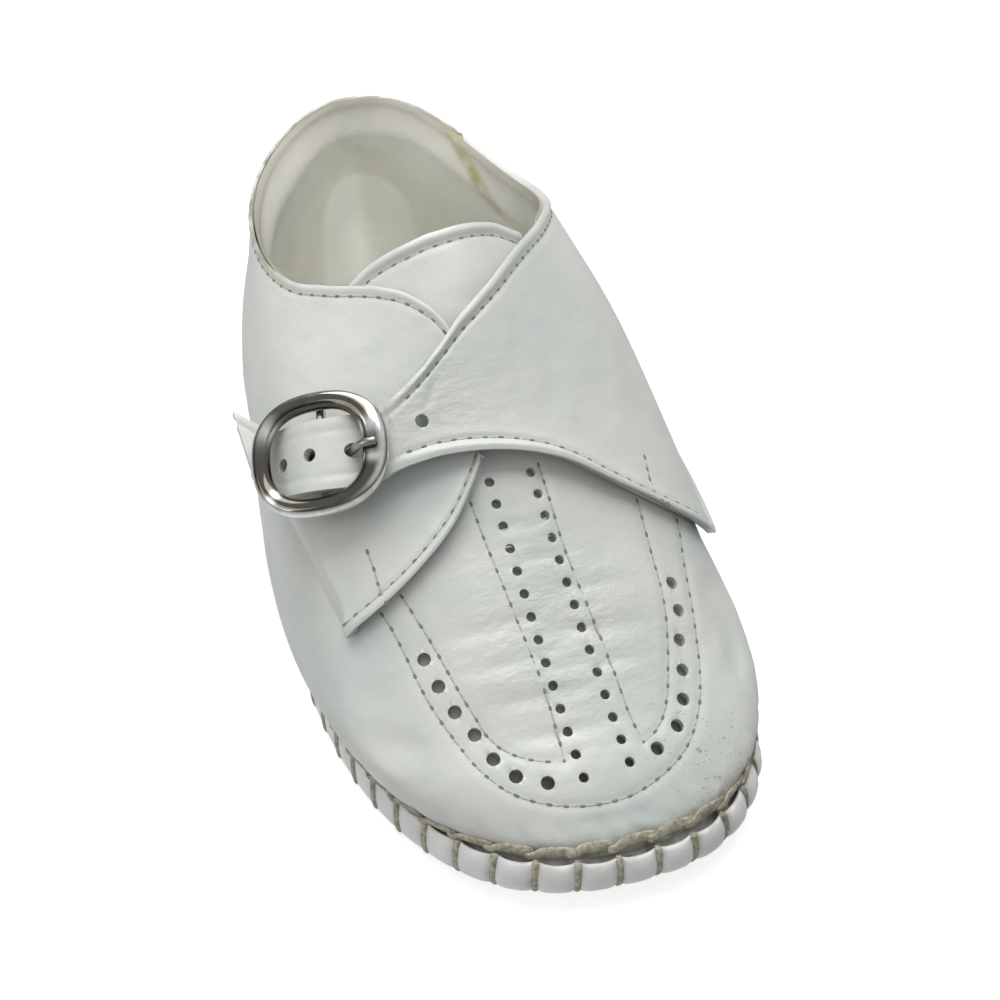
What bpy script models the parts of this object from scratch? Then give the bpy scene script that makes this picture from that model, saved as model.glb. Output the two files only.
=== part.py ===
"""First-walker shoe for the right foot: white leather upper, crossing strap with a buckle, stitched sole.

The shape starts from a last, given as a stack of contours round the foot. Every sheet of leather is a piece
of that last, lifted by its own distance and given its own thickness. Sizes are in millimetres, and the
meshes are made in metres. The toe points to -Y, +X is the medial side and the floor is at Z = 0.
"""
import math

import bmesh
import bpy
import numpy as np
from mathutils import Matrix, Vector

MM = 0.001
CENTRE = (-1.35, 0.48)

GAP = 0.35
UPPER_WALL = 1.2
TONGUE_WALL = 1.0
LATERAL_WALL = 1.0
MEDIAL_WALL = 1.2

# The last. Each row is one contour, from the feather edge upwards: its height at toe, middle and heel, its
# front and back ends, its half widths at a fifth, half and four fifths of its length on the lateral and the
# medial side, how square its two ends are, how far its toe end leans to the medial side, and how deep the
# hollow of the medial waist is.
LAST_COLUMNS = ("z_toe", "z_mid", "z_heel", "y_toe", "y_heel", "lat_ball", "lat_waist", "lat_heel",
                "med_ball", "med_waist", "med_heel", "toe_square", "heel_square", "toe_lean", "hollow")
LAST = np.array([
    (6.5, 5.0, 5.0, -60.5, 60.0, 31.4, 28.0, 22.5, 25.5, 24.0, 21.5, 2.8, 4.2, 3.2, 4.5),
    (9.0, 12.0, 13.0, -59.0, 62.0, 34.7, 31.0, 22.8, 28.8, 26.0, 22.0, 2.8, 3.8, 3.0, 2.0),
    (12.5, 19.0, 21.0, -53.0, 62.8, 32.3, 29.8, 22.4, 27.5, 26.5, 22.0, 3.1, 3.2, 1.0, 0.6),
    (20.0, 26.0, 28.0, -39.5, 62.8, 29.5, 27.5, 21.4, 26.2, 26.0, 21.4, 3.6, 2.7, 0.0, 0.0),
    (28.5, 33.0, 35.0, -25.0, 62.6, 27.0, 25.5, 20.3, 24.0, 25.0, 20.8, 3.4, 2.3, 0.0, 0.0),
    (36.5, 39.0, 41.0, -11.5, 62.3, 24.5, 22.5, 19.0, 22.5, 22.3, 19.5, 2.8, 2.0, 0.0, 0.0),
    (46.5, 44.5, 45.5, 2.0, 62.0, 18.5, 19.5, 18.0, 18.5, 19.8, 18.5, 2.0, 2.0, 0.0, 0.0),
    (54.0, 51.0, 50.5, 13.0, 61.8, 14.0, 17.0, 17.0, 14.0, 17.3, 17.5, 2.0, 2.0, 0.0, 0.0),
])
WIDTH_STATIONS = (0.2, 0.5, 0.8)
HOLLOW_MIDDLE = 0.52
HOLLOW_HALF = 0.25
TOE_ROUND = 2.4
HEEL_ROUND = 2.0
HEEL_LEAN = 2.5

# Places on the last are (angle, height): 0 is the toe, 180 the heel, + the medial and - the lateral side.
TOPLINE = np.array([
    (-180, 43.7), (-125, 43.7), (-90, 43.2), (-68, 43.3), (-50, 45.6), (-36, 46.6), (-22, 44.5), (-9, 39.0),
    (0, 37.5), (9, 39.0), (22, 44.5), (36, 46.6), (50, 46.2), (69, 44.2), (92, 41.2), (115, 39.8),
    (130, 41.6), (145, 43.5), (180, 43.7),
])
UPPER_COLUMNS = 72
UPPER_ROWS = 12

# Ribs of a sheet run from its lower to its upper edge. Each row is the angle and height of the rib's low end,
# the angle and height of its high end, and the lift of the sheet's inner face.
RIB_STEPS = 3
SHEET_ROWS = 8
LATERAL_FRONT = np.array([
    (-4.2, 34.2, -3.6, 37.0, GAP),
    (-7.5, 32.5, -3.4, 41.5, GAP),
    (-12.8, 30.3, -4.2, 44.8, GAP),
    (-20.8, 27.8, -9.5, 46.9, GAP),
    (-30.5, 24.9, -19.5, 48.0, GAP),
    (-44.0, 21.0, -31.0, 47.9, GAP),
])
LATERAL_BACK = np.array([
    (-44.0, 21.0, -31.0, 47.9, GAP),
    (-49.5, 23.4, -40.0, 47.1, GAP),
    (-57.0, 25.6, -52.0, 45.8, GAP),
    (-66.0, 26.4, -64.0, 44.4, GAP),
    (-80.0, 25.6, -80.0, 43.6, GAP),
    (-100.0, 24.0, -98.0, 43.7, GAP),
    (-125.0, 22.0, -124.0, 44.2, GAP),
    (-152.0, 20.6, -151.0, 44.4, GAP),
    (-180.0, 19.6, -180.0, 44.4, GAP),
    (-208.0, 18.8, -210.0, 44.3, GAP),
    (-233.0, 18.4, -231.0, 42.6, GAP),
])
MEDIAL_BACK = np.array([
    (126.0, 18.2, 127.5, 41.8, GAP),
    (112.0, 20.2, 114.0, 40.5, GAP),
    (98.0, 21.4, 96.0, 41.6, GAP),
    (85.0, 20.7, 79.0, 43.8, GAP),
    (74.0, 19.0, 63.0, 45.8, GAP),
    (63.0, 16.6, 47.0, 47.3, GAP),
])
STRAP_ON_LAST = np.array([
    (63.0, 16.6, 47.0, 47.3, GAP),
    (52.0, 20.6, 38.0, 47.9, GAP),
    (42.8, 23.9, 28.0, 48.2, 0.4),
    (30.8, 28.0, 17.0, 48.0, 0.6),
    (16.0, 31.9, 8.0, 47.4, 1.1),
    (5.8, 33.7, 1.0, 46.4, 1.5),
    (-4.0, 34.8, -5.0, 44.9, 1.8),
    (-14.0, 34.7, -13.8, 42.2, 2.5),
])
# The strap through the buckle, seen from the centre bar. Each row is one section: its lower edge along and
# across the buckle, its upper edge along and across, and the height of its inner face.
STRAP_IN_BUCKLE = np.array([
    (-9.4, -3.0, -10.4, 7.1, -1.4),
    (-6.4, -4.3, -6.9, 5.3, -1.0),
    (-3.2, -4.9, -3.2, 4.7, 1.2),
    (0.0, -4.9, 0.0, 4.5, 2.1),
    (3.0, -4.6, 3.0, 4.7, 1.2),
    (5.6, -4.0, 5.9, 5.0, -0.75),
    (7.4, -3.3, 8.2, 6.0, -1.3),
    (9.0, -2.4, 10.8, 7.5, -1.1),
    (10.3, -1.6, 12.9, 8.7, -0.3),
])
FIRST_HOLE = (-15.2, 37.4)
PRONG_HOLE = -5.0
STRAP_HOLES = (0.8, 5.6)
STRAP_HOLE_RADIUS = 0.9
PRONG_HOLE_RADIUS = 1.4
HOLE_CUT_LENGTH = 12.0
HOLE_SIDES = 12

TONGUE = np.array([
    (-16.0, 30.0, -48.0, 46.4, -GAP),
    (-12.0, 30.0, -36.0, 49.8, -GAP),
    (-7.0, 30.0, -20.0, 52.2, -GAP),
    (0.0, 30.0, 0.0, 53.4, -GAP),
    (7.0, 30.0, 22.0, 52.8, -GAP),
    (12.0, 30.0, 42.0, 50.4, -GAP),
    (16.0, 30.0, 57.0, 46.6, -GAP),
])

# The sole: its edge profile runs from the floor, round the turned-up band and over its lip to the inside.
# Each row is the distance out from the feather edge, the height as a share of the band, and how much of the
# pillow's groove it takes.
EDGE_PROFILE = np.array([
    (-0.8, 0.0, 0.0),
    (1.6, 0.12, 0.6),
    (2.8, 0.5, 1.0),
    (2.6, 0.8, 1.0),
    (1.7, 1.0, 0.6),
    (0.9, 0.95, 0.0),
])
# How much of the band's spread is left at an angle from the toe, on both sides: behind the ball it is tucked
# in under the upper.
BAND_INNER = 0.9
BAND_SPREAD = np.array([
    (0.0, 1.0),
    (40.0, 1.0),
    (50.0, 0.9),
    (60.0, 0.6),
    (75.0, 0.35),
    (120.0, 0.35),
    (160.0, 0.5),
    (180.0, 0.5),
])
OUTLINE_SAMPLES = 720
PILLOWS_A_SIDE = 30
PILLOW_STATIONS = (0.0, 0.26, 0.74)
GROOVE_DEPTH = 0.55
LIP_RISE = 1.2
LIP_CLEARANCE = 0.5
TOE_SPRING = 1.5
TOE_SPRING_START = -38.0
ARCH_RISE = 1.0
ARCH = (-6.0, 26.0)
INSOLE_THICKNESS = 1.4
INSOLE_COLUMNS = 48

# The buckle, in the strap's own directions: along the strap, across it, and out from the shoe.
BUCKLE_ANGLE = -41.0
BUCKLE_HEIGHT = 33.6
BUCKLE_LIFT = 3.9
STRAP_FALL = 0.135
FRAME_MIDDLE = (0.05, 0.3)
FRAME_HALF_LENGTH = 8.1
FRAME_HALF_WIDTH = 7.2
FRAME_SQUARE = 2.55
FRAME_RADIUS = 1.15
FRAME_THICK_SIDE = 1.35
FRAME_RISE = 2.1
FRAME_POINTS = 40
BAR_RADIUS = 0.7
PRONG_RADIUS = 0.5
PRONG_UNDER_STRAP = (-2.4, -0.2)
PRONG_IN_HOLE = 1.2
PRONG_BEND = 1.6
PRONG_PAST_BAR = 0.9
PRONG_TIP_DROP = 0.3
CHAPE_WALL = 0.7
CHAPE_HALF_WIDTH = 3.6
CHAPE_TAIL = 7.0
CHAPE_TAIL_DROP = 1.2
CHAPE_POINTS = 14
SLOT_HALF_LENGTH = 3.0
SLOT_HALF_DEPTH = 4.0

WHITE_LEATHER = ("white_leather", (0.78, 0.79, 0.75), 0.42, 0.0)
SOLE_LEATHER = ("sole_leather", (0.70, 0.70, 0.64), 0.5, 0.0)
LINING_LEATHER = ("lining_leather", (0.62, 0.60, 0.53), 0.7, 0.0)
CHROME = ("chrome", (0.82, 0.82, 0.80), 0.12, 1.0)


def through(x, table):
    """Smooth curve through a table whose first column rises: the other columns at x."""
    knots = table[:, 0]
    slopes = np.gradient(table[:, 1:], knots, axis=0)
    k = int(np.clip(np.searchsorted(knots, x) - 1, 0, len(knots) - 2))
    span = knots[k + 1] - knots[k]
    t = (x - knots[k]) / span
    start, end = table[k, 1:], table[k + 1, 1:]
    return ((1 + 2 * t) * (1 - t) ** 2 * start + t * t * (3 - 2 * t) * end
            + span * t * (1 - t) * ((1 - t) * slopes[k] - t * slopes[k + 1]))


LEVELS = np.column_stack([np.arange(len(LAST)), LAST])


def last_point(angle, level):
    """Point of the last at an angle round the foot and a level between its contour rows."""
    row = dict(zip(LAST_COLUMNS, through(level, LEVELS)))
    angle = (angle + 180) % 360 - 180
    cosine = math.cos(math.radians(angle))
    share = (1 - cosine) / 2
    side = "med" if angle >= 0 else "lat"
    widths = [row[side + place] for place in ("_ball", "_waist", "_heel")]
    width = np.polyval(np.polyfit(WIDTH_STATIONS, widths, 2), share)
    from_hollow = abs(share - HOLLOW_MIDDLE) / HOLLOW_HALF
    if side == "med" and from_hollow < 1:
        width -= row["hollow"] * math.cos(from_hollow * math.pi / 2) ** 2
    square, end_round = (row["toe_square"], TOE_ROUND) if cosine > 0 else (row["heel_square"], HEEL_ROUND)
    reach = max(1 - abs(cosine) ** square, 0.0) ** (1 / end_round)
    x = math.copysign(width * reach, angle) + row["toe_lean"] * (1 - share) ** 2 + HEEL_LEAN * share ** 2
    y = row["y_toe"] + (row["y_heel"] - row["y_toe"]) * share
    middle = 2 * row["z_mid"] - (row["z_toe"] + row["z_heel"]) / 2
    z = row["z_toe"] * (1 - share) ** 2 + middle * 2 * share * (1 - share) + row["z_heel"] * share ** 2
    return np.array((x, y, z))


def level_at(angle, height, lift=0.0):
    """The level where the last, or a face at a distance out from it, reaches a height."""
    low, high = 0.0, len(LAST) - 1.0
    for _ in range(24):
        middle = (low + high) / 2
        here = lifted(angle, middle, lift) if lift else last_point(angle, middle)
        if here[2] < height:
            low = middle
        else:
            high = middle
    return (low + high) / 2


def lifted(angle, level, lift):
    """Point at a distance out from the last, along its normal."""
    step = 0.02
    level = min(max(level, step), len(LAST) - 1 - step)
    around = last_point(angle + 1, level) - last_point(angle - 1, level)
    upward = last_point(angle, level + step) - last_point(angle, level - step)
    normal = np.cross(around, upward)
    return last_point(angle, level) + normal * (lift / np.linalg.norm(normal))


def on_last(angle, height, lift):
    """Point over the last at an angle, a height and a distance out."""
    return lifted(angle, level_at(angle, height), lift)


def ribs_between(table):
    """The table's ribs with smooth in-between ribs added."""
    numbered = np.column_stack([np.arange(len(table)), table])
    count = (len(table) - 1) * RIB_STEPS
    return [through(k / RIB_STEPS, numbered) for k in range(count + 1)]


def rib_points(rib):
    """Points along one rib from its lower to its upper edge."""
    low_angle, low_height, high_angle, high_height, lift = rib
    shares = np.linspace(0, 1, SHEET_ROWS)
    angles = low_angle + (high_angle - low_angle) * shares
    heights = low_height + (high_height - low_height) * shares
    return [on_last(angle, height, lift) for angle, height in zip(angles, heights)]


def material(finish):
    """The material for one finish, made once."""
    name, colour, roughness, metallic = finish
    found = bpy.data.materials.get(name)
    if found:
        return found
    made = bpy.data.materials.new(name)
    made.use_nodes = True
    shader = made.node_tree.nodes["Principled BSDF"]
    shader.inputs["Base Color"].default_value = (*colour, 1)
    shader.inputs["Roughness"].default_value = roughness
    shader.inputs["Metallic"].default_value = metallic
    return made


def in_part_frame(point):
    """Millimetres over the last to metres in the part's own frame."""
    return ((point[0] - CENTRE[0]) * MM, (point[1] - CENTRE[1]) * MM, point[2] * MM)


def add_object(name, mesh_or_curve, finish, collection):
    """One named sub-part with its material."""
    thing = bpy.data.objects.new(name, mesh_or_curve)
    mesh_or_curve.materials.append(material(finish))
    collection.objects.link(thing)
    return thing


def loft(name, sections, finish, collection, ring=False, caps=None):
    """Quads between neighbouring sections. A ring closes the last section to the first, and caps bridge the
    first and last point of every section across the ring, from one side to the other."""
    mesh = bpy.data.meshes.new(name)
    form = bmesh.new()
    rows = [[form.verts.new(in_part_frame(point)) for point in section] for section in sections]
    count = len(rows)
    for i in range(count if ring else count - 1):
        here, after = rows[i], rows[(i + 1) % count]
        for j in range(len(here) - 1):
            form.faces.new((here[j], after[j], after[j + 1], here[j + 1]))
    for edge in caps or ():
        for i in range(count // 2):
            corners = [rows[k % count][edge] for k in (i, i + 1, count - i - 1, count - i)]
            form.faces.new(list(dict.fromkeys(corners)))
    if caps:
        bmesh.ops.recalc_face_normals(form, faces=form.faces)
    form.to_mesh(mesh)
    form.free()
    mesh.shade_smooth()
    return add_object(name, mesh, finish, collection)


def thicken(sheet, wall, outward):
    """Give a sheet its thickness, away from the foot or towards it."""
    solid = sheet.modifiers.new("wall", "SOLIDIFY")
    solid.thickness = wall * MM
    solid.offset = 1 if outward else -1
    solid.use_even_offset = True


def buckle_frame_axes():
    """The centre bar's middle, and the directions along the strap, across it and out."""
    here = on_last(BUCKLE_ANGLE, BUCKLE_HEIGHT, 0)
    origin = on_last(BUCKLE_ANGLE, BUCKLE_HEIGHT, BUCKLE_LIFT)
    out = (origin - here) / BUCKLE_LIFT
    ahead = on_last(BUCKLE_ANGLE - 2, BUCKLE_HEIGHT - 2 * STRAP_FALL, 0) - here
    along = ahead - out * ahead.dot(out)
    along = along / np.linalg.norm(along)
    return origin, along, np.cross(along, out), out


BAR_MIDDLE, ALONG, ACROSS, OUT = buckle_frame_axes()


def at_buckle(along, across, out):
    """Point given from the buckle's centre bar."""
    return BAR_MIDDLE + ALONG * along + ACROSS * across + OUT * out


def top_of_upper(angle):
    """Level of the upper's top line at an angle."""
    return level_at(angle, through(angle, TOPLINE)[0])


def make_upper(collection):
    """Hollow wall from the feather edge to the top line, open underneath and at the collar and throat."""
    sections = []
    for angle in np.linspace(-180, 180, UPPER_COLUMNS, endpoint=False):
        levels = np.linspace(0, top_of_upper(angle), UPPER_ROWS)
        sections.append([last_point(angle, level) for level in levels])
    upper = loft("upper", sections, WHITE_LEATHER, collection, ring=True)
    thicken(upper, UPPER_WALL, outward=False)


def make_tongue(collection):
    """Flap inside the throat, standing above the collar."""
    inside = -(UPPER_WALL + GAP)
    ribs = [(*rib[:4], inside) for rib in ribs_between(TONGUE)]
    tongue = loft("tongue", [rib_points(rib) for rib in ribs], WHITE_LEATHER, collection)
    thicken(tongue, TONGUE_WALL, outward=False)


def make_quarter_lateral(collection):
    """Outer quarter: its front edge on the vamp, then round the heel to the medial back seam."""
    ribs = ribs_between(LATERAL_FRONT) + ribs_between(LATERAL_BACK)[1:]
    quarter = loft("quarter_lateral", [rib_points(rib) for rib in ribs[::-1]], WHITE_LEATHER, collection)
    thicken(quarter, LATERAL_WALL, outward=True)


def strap_sections():
    """Sections of the medial quarter's strap: over the instep on the last, then through the buckle."""
    over_instep = [rib_points(rib) for rib in ribs_between(STRAP_ON_LAST)]
    numbered = np.column_stack([np.arange(len(STRAP_IN_BUCKLE)), STRAP_IN_BUCKLE])
    through_buckle = []
    for k in range((len(STRAP_IN_BUCKLE) - 1) * RIB_STEPS + 1):
        low_along, low_across, high_along, high_across, out = through(k / RIB_STEPS, numbered)
        alongs = np.linspace(low_along, high_along, SHEET_ROWS)
        acrosses = np.linspace(low_across, high_across, SHEET_ROWS)
        through_buckle.append([at_buckle(along, across, out) for along, across in zip(alongs, acrosses)])
    return over_instep, through_buckle


def make_quarter_medial(collection, cutters):
    """Inner quarter from the back seam forward, cut in one with the strap that crosses to the buckle."""
    back = [rib_points(rib) for rib in ribs_between(MEDIAL_BACK)]
    over_instep, through_buckle = strap_sections()
    sections = back + over_instep[1:] + through_buckle
    quarter = loft("quarter_medial", sections[::-1], WHITE_LEATHER, collection)
    thicken(quarter, MEDIAL_WALL, outward=True)
    first_hole = on_last(*FIRST_HOLE, 0)
    first_out = on_last(*FIRST_HOLE, 1) - first_hole
    cut_hole(quarter, first_hole, first_out, STRAP_HOLE_RADIUS, cutters)
    for along in STRAP_HOLES:
        cut_hole(quarter, at_buckle(along, 0, 0), OUT, STRAP_HOLE_RADIUS, cutters)
    cut_hole(quarter, at_buckle(PRONG_HOLE, 0, 0), OUT, PRONG_HOLE_RADIUS, cutters)


def turned_to(out, along=None):
    """Rotation that takes the local Z axis to a direction, and the local X axis towards another."""
    out = Vector(out).normalized()
    if along is None:
        return out.to_track_quat("Z", "Y").to_matrix().to_4x4()
    along = Vector(along).normalized()
    return Matrix((along, out.cross(along), out)).transposed().to_4x4()


def keep_as_cutter(cutter, cutters):
    """Hide a cutting form and put it with the other cutters."""
    for owner in list(cutter.users_collection):
        owner.objects.unlink(cutter)
    cutters.objects.link(cutter)
    cutter.hide_render = True
    cutter.display_type = "WIRE"


def cut_away(body, cutter):
    """Take a cutting form out of a body."""
    cut = body.modifiers.new("cut " + cutter.name, "BOOLEAN")
    cut.operation = "DIFFERENCE"
    cut.solver = "EXACT"
    cut.object = cutter


def cut_hole(body, middle, out, radius, cutters):
    """Round hole through a body, along a direction."""
    bpy.ops.mesh.primitive_cylinder_add(vertices=HOLE_SIDES, radius=radius * MM, depth=HOLE_CUT_LENGTH * MM)
    cutter = bpy.context.object
    cutter.name = "strap hole cutter"
    cutter.matrix_world = Matrix.Translation(in_part_frame(middle)) @ turned_to(out)
    keep_as_cutter(cutter, cutters)
    cut_away(body, cutter)


def feather_columns():
    """Places round the feather edge, three to a stitched pillow: angle, groove share, outward direction."""
    angles = np.linspace(0, 360, 2 * OUTLINE_SAMPLES + 1)
    outline = np.array([last_point(angle, 0)[:2] for angle in angles])
    lengths = np.concatenate([[0], np.cumsum(np.linalg.norm(np.diff(outline, axis=0), axis=1))])
    columns = []
    for start, end in ((0, OUTLINE_SAMPLES), (OUTLINE_SAMPLES, 2 * OUTLINE_SAMPLES)):
        pitch = (lengths[end] - lengths[start]) / PILLOWS_A_SIDE
        for pillow in range(PILLOWS_A_SIDE):
            for station in PILLOW_STATIONS:
                angle = np.interp(lengths[start] + (pillow + station) * pitch, lengths, angles)
                before, after = last_point(angle - 0.5, 0), last_point(angle + 0.5, 0)
                outward = np.array((after[1] - before[1], before[0] - after[0], 0))
                groove = 1.0 if station == 0 else 0.0
                columns.append((angle, groove, outward / np.linalg.norm(outward)))
    return columns


def band_distance(distance, angle):
    """Distance of the sole's edge from the feather edge, drawn in where the band is tucked under."""
    from_toe = abs((angle + 180) % 360 - 180)
    spread = np.interp(from_toe, BAND_SPREAD[:, 0], BAND_SPREAD[:, 1])
    return min(distance, BAND_INNER) + max(distance - BAND_INNER, 0) * spread


def sole_bottom(y):
    """Height of the sole's underside: flat at heel and forefoot, sprung at the toe, raised at the arch."""
    height = 0.0
    if y < TOE_SPRING_START:
        height = TOE_SPRING * ((TOE_SPRING_START - y) / (TOE_SPRING_START - LAST[0, 3])) ** 2
    if ARCH[0] < y < ARCH[1]:
        height = ARCH_RISE * math.sin(math.pi * (y - ARCH[0]) / (ARCH[1] - ARCH[0])) ** 2
    return height


def make_sole(collection):
    """Leather sole, turned up round the upper's edge in a band of stitched pillows."""
    sections = []
    for angle, groove, outward in feather_columns():
        feather = last_point(angle, 0)
        section = []
        for distance, share, grooved in EDGE_PROFILE:
            reach = band_distance(distance - groove * grooved * GROOVE_DEPTH, angle)
            point = feather + outward * reach
            bottom = sole_bottom(point[1])
            point[2] = bottom + share * (feather[2] + LIP_RISE - bottom)
            section.append(point)
        rim = min(feather[2], lifted(angle, 0, -UPPER_WALL)[2])
        floor = feather + outward * LIP_CLEARANCE
        floor[2] = rim - GAP
        section.append(floor)
        sections.append(section)
    loft("sole", sections, SOLE_LEATHER, collection, ring=True, caps=(0, -1))


def make_insole(collection):
    """Thin inner sole, clear of the upper's wall all round."""
    inside = -(UPPER_WALL + 2 * GAP)
    sections = []
    for angle in np.linspace(0, 360, INSOLE_COLUMNS, endpoint=False):
        low = last_point(angle, 0)[2]
        top = low + INSOLE_THICKNESS
        section = []
        for height in (low, top):
            edge = lifted(angle, level_at(angle, height, inside), inside)
            section.append((edge[0], edge[1], height))
        sections.append(section)
    loft("insole", sections, LINING_LEATHER, collection, ring=True, caps=(0, -1))


def rod(name, points, radius, collection, finish=CHROME, closed=False, swell=None):
    """Round bar along a line of points, thicker where swell says so."""
    curve = bpy.data.curves.new(name, "CURVE")
    curve.dimensions = "3D"
    curve.bevel_depth = radius * MM
    curve.bevel_resolution = 2
    curve.use_fill_caps = not closed
    spline = curve.splines.new("POLY")
    spline.points.add(len(points) - 1)
    spline.use_cyclic_u = closed
    for k, point in enumerate(points):
        spline.points[k].co = (*in_part_frame(point), 1)
        spline.points[k].radius = swell[k] if swell else 1
    return add_object(name, curve, finish, collection)


def as_mesh(thing, collection):
    """Turn a curve object into a welded mesh object of the same name."""
    bpy.context.view_layer.update()
    evaluated = thing.evaluated_get(bpy.context.evaluated_depsgraph_get())
    mesh = bpy.data.meshes.new_from_object(evaluated)
    form = bmesh.new()
    form.from_mesh(mesh)
    bmesh.ops.remove_doubles(form, verts=form.verts, dist=0.00001)
    bmesh.ops.recalc_face_normals(form, faces=form.faces)
    form.to_mesh(mesh)
    form.free()
    mesh.shade_smooth()
    name, place = thing.name, thing.matrix_world.copy()
    bpy.data.objects.remove(thing)
    made = bpy.data.objects.new(name, mesh)
    made.matrix_world = place
    collection.objects.link(made)
    return made


def make_buckle_frame(collection, cutters):
    """Rounded frame, thicker on the side that the prong rests on, with a centre bar dropped below it."""
    points, swell = [], []
    for k in range(FRAME_POINTS):
        turn = 2 * math.pi * k / FRAME_POINTS
        cosine, sine = math.cos(turn), math.sin(turn)
        along = FRAME_MIDDLE[0] + math.copysign(FRAME_HALF_LENGTH * abs(cosine) ** (2 / FRAME_SQUARE), cosine)
        across = FRAME_MIDDLE[1] + math.copysign(FRAME_HALF_WIDTH * abs(sine) ** (2 / FRAME_SQUARE), sine)
        points.append(at_buckle(along, across, FRAME_RISE))
        swell.append(1 + (FRAME_THICK_SIDE / FRAME_RADIUS - 1) * max(-cosine, 0) ** 2)
    ring = rod("buckle_frame", points, FRAME_RADIUS, collection, closed=True, swell=swell)
    frame = as_mesh(ring, collection)
    reach = FRAME_HALF_WIDTH
    bend = FRAME_HALF_WIDTH - 2 * FRAME_RADIUS
    route = ((-reach, FRAME_RISE), (-bend, 0), (bend, 0), (reach, FRAME_RISE))
    points = [at_buckle(0, FRAME_MIDDLE[1] + across, out) for across, out in route]
    centre = rod("centre bar", points, BAR_RADIUS, collection)
    bar = as_mesh(centre, collection)
    keep_as_cutter(bar, cutters)
    joined = frame.modifiers.new("centre bar", "BOOLEAN")
    joined.operation = "UNION"
    joined.solver = "EXACT"
    joined.object = bar


def make_buckle_prong(collection):
    """Prong: hooked under the centre bar, up through the strap's hole and over the frame."""
    hook = BAR_RADIUS + GAP + PRONG_RADIUS
    turns = np.linspace(0, -math.pi, 5)
    route = [(hook * math.cos(turn), hook * math.sin(turn)) for turn in turns]
    rest = FRAME_RISE + FRAME_THICK_SIDE + GAP + PRONG_RADIUS
    over_bar = FRAME_MIDDLE[0] - FRAME_HALF_LENGTH
    route += [PRONG_UNDER_STRAP, (PRONG_HOLE, PRONG_IN_HOLE), (over_bar + PRONG_BEND, rest - PRONG_TIP_DROP)]
    route.append((over_bar, rest))
    route.append((over_bar - PRONG_PAST_BAR, rest - PRONG_TIP_DROP))
    points = [at_buckle(along, 0, out) for along, out in route]
    as_mesh(rod("buckle_prong", points, PRONG_RADIUS, collection), collection)


def make_buckle_chape(collection, cutters):
    """Leather loop round the centre bar, with a slot for the prong and a tail on the outer quarter."""
    bore = BAR_RADIUS + GAP
    loop = bore + CHAPE_WALL
    curve = bpy.data.curves.new("buckle_chape", "CURVE")
    curve.dimensions = "2D"
    curve.fill_mode = "BOTH"
    curve.extrude = CHAPE_HALF_WIDTH * MM
    outside = [(loop * math.cos(turn), loop * math.sin(turn))
               for turn in np.radians(np.linspace(270, 20, CHAPE_POINTS))]
    outside += [(CHAPE_TAIL, -loop), (CHAPE_TAIL, -loop - CHAPE_TAIL_DROP)]
    inside = [(bore * math.cos(turn), bore * math.sin(turn))
              for turn in np.linspace(0, 2 * math.pi, CHAPE_POINTS, endpoint=False)]
    for outline in (outside, inside):
        spline = curve.splines.new("POLY")
        spline.points.add(len(outline) - 1)
        spline.use_cyclic_u = True
        for point, (along, out) in zip(spline.points, outline):
            point.co = (along * MM, out * MM, 0, 1)
    chape = add_object("buckle_chape", curve, WHITE_LEATHER, collection)
    place = Matrix.Translation(in_part_frame(BAR_MIDDLE))
    chape.matrix_world = place @ turned_to(ACROSS, ALONG)
    chape = as_mesh(chape, collection)
    slot = PRONG_RADIUS + GAP
    bpy.ops.mesh.primitive_cube_add(size=2 * MM)
    cutter = bpy.context.object
    cutter.name = "prong slot cutter"
    size = Matrix.Diagonal((SLOT_HALF_LENGTH, SLOT_HALF_DEPTH, slot, 1))
    cutter.matrix_world = place @ turned_to(ACROSS, ALONG) @ size
    keep_as_cutter(cutter, cutters)
    cut_away(chape, cutter)


def main():
    for thing in list(bpy.data.objects):
        bpy.data.objects.remove(thing)
    shoe = bpy.data.collections.new("first walker shoe")
    cutters = bpy.data.collections.new("cutters")
    for collection in (shoe, cutters):
        bpy.context.scene.collection.children.link(collection)
    make_sole(shoe)
    make_insole(shoe)
    make_upper(shoe)
    make_tongue(shoe)
    make_quarter_lateral(shoe)
    make_quarter_medial(shoe, cutters)
    make_buckle_chape(shoe, cutters)
    make_buckle_frame(shoe, cutters)
    make_buckle_prong(shoe)


main()
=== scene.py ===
import bmesh
import bpy
import numpy as np
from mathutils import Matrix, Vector


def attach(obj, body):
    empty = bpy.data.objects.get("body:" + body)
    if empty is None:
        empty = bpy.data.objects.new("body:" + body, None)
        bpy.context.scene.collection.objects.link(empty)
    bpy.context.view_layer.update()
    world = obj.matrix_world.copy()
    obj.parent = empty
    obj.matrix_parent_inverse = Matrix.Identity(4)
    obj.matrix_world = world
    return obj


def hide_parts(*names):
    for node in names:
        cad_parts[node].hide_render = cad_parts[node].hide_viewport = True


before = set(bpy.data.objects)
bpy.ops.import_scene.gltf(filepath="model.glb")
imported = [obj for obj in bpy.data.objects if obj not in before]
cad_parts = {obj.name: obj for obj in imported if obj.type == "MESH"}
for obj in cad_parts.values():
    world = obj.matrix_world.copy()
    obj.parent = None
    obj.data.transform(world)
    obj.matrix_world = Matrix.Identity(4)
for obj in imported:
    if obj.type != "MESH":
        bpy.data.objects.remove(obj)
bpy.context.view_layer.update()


# Studio: a pale floor that glows faintly, one large soft light above and behind, weak ones in front and at
# the outer side, and a narrow one into the collar. The camera looks down on the toe and the outer side.
def new_finish(name, colour, roughness):
    """A material with its main shader, its colour and its gloss."""
    made = bpy.data.materials.new(name)
    made.use_nodes = True
    shader = made.node_tree.nodes["Principled BSDF"]
    shader.inputs["Base Color"].default_value = (*colour, 1)
    shader.inputs["Roughness"].default_value = roughness
    return made, shader


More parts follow.
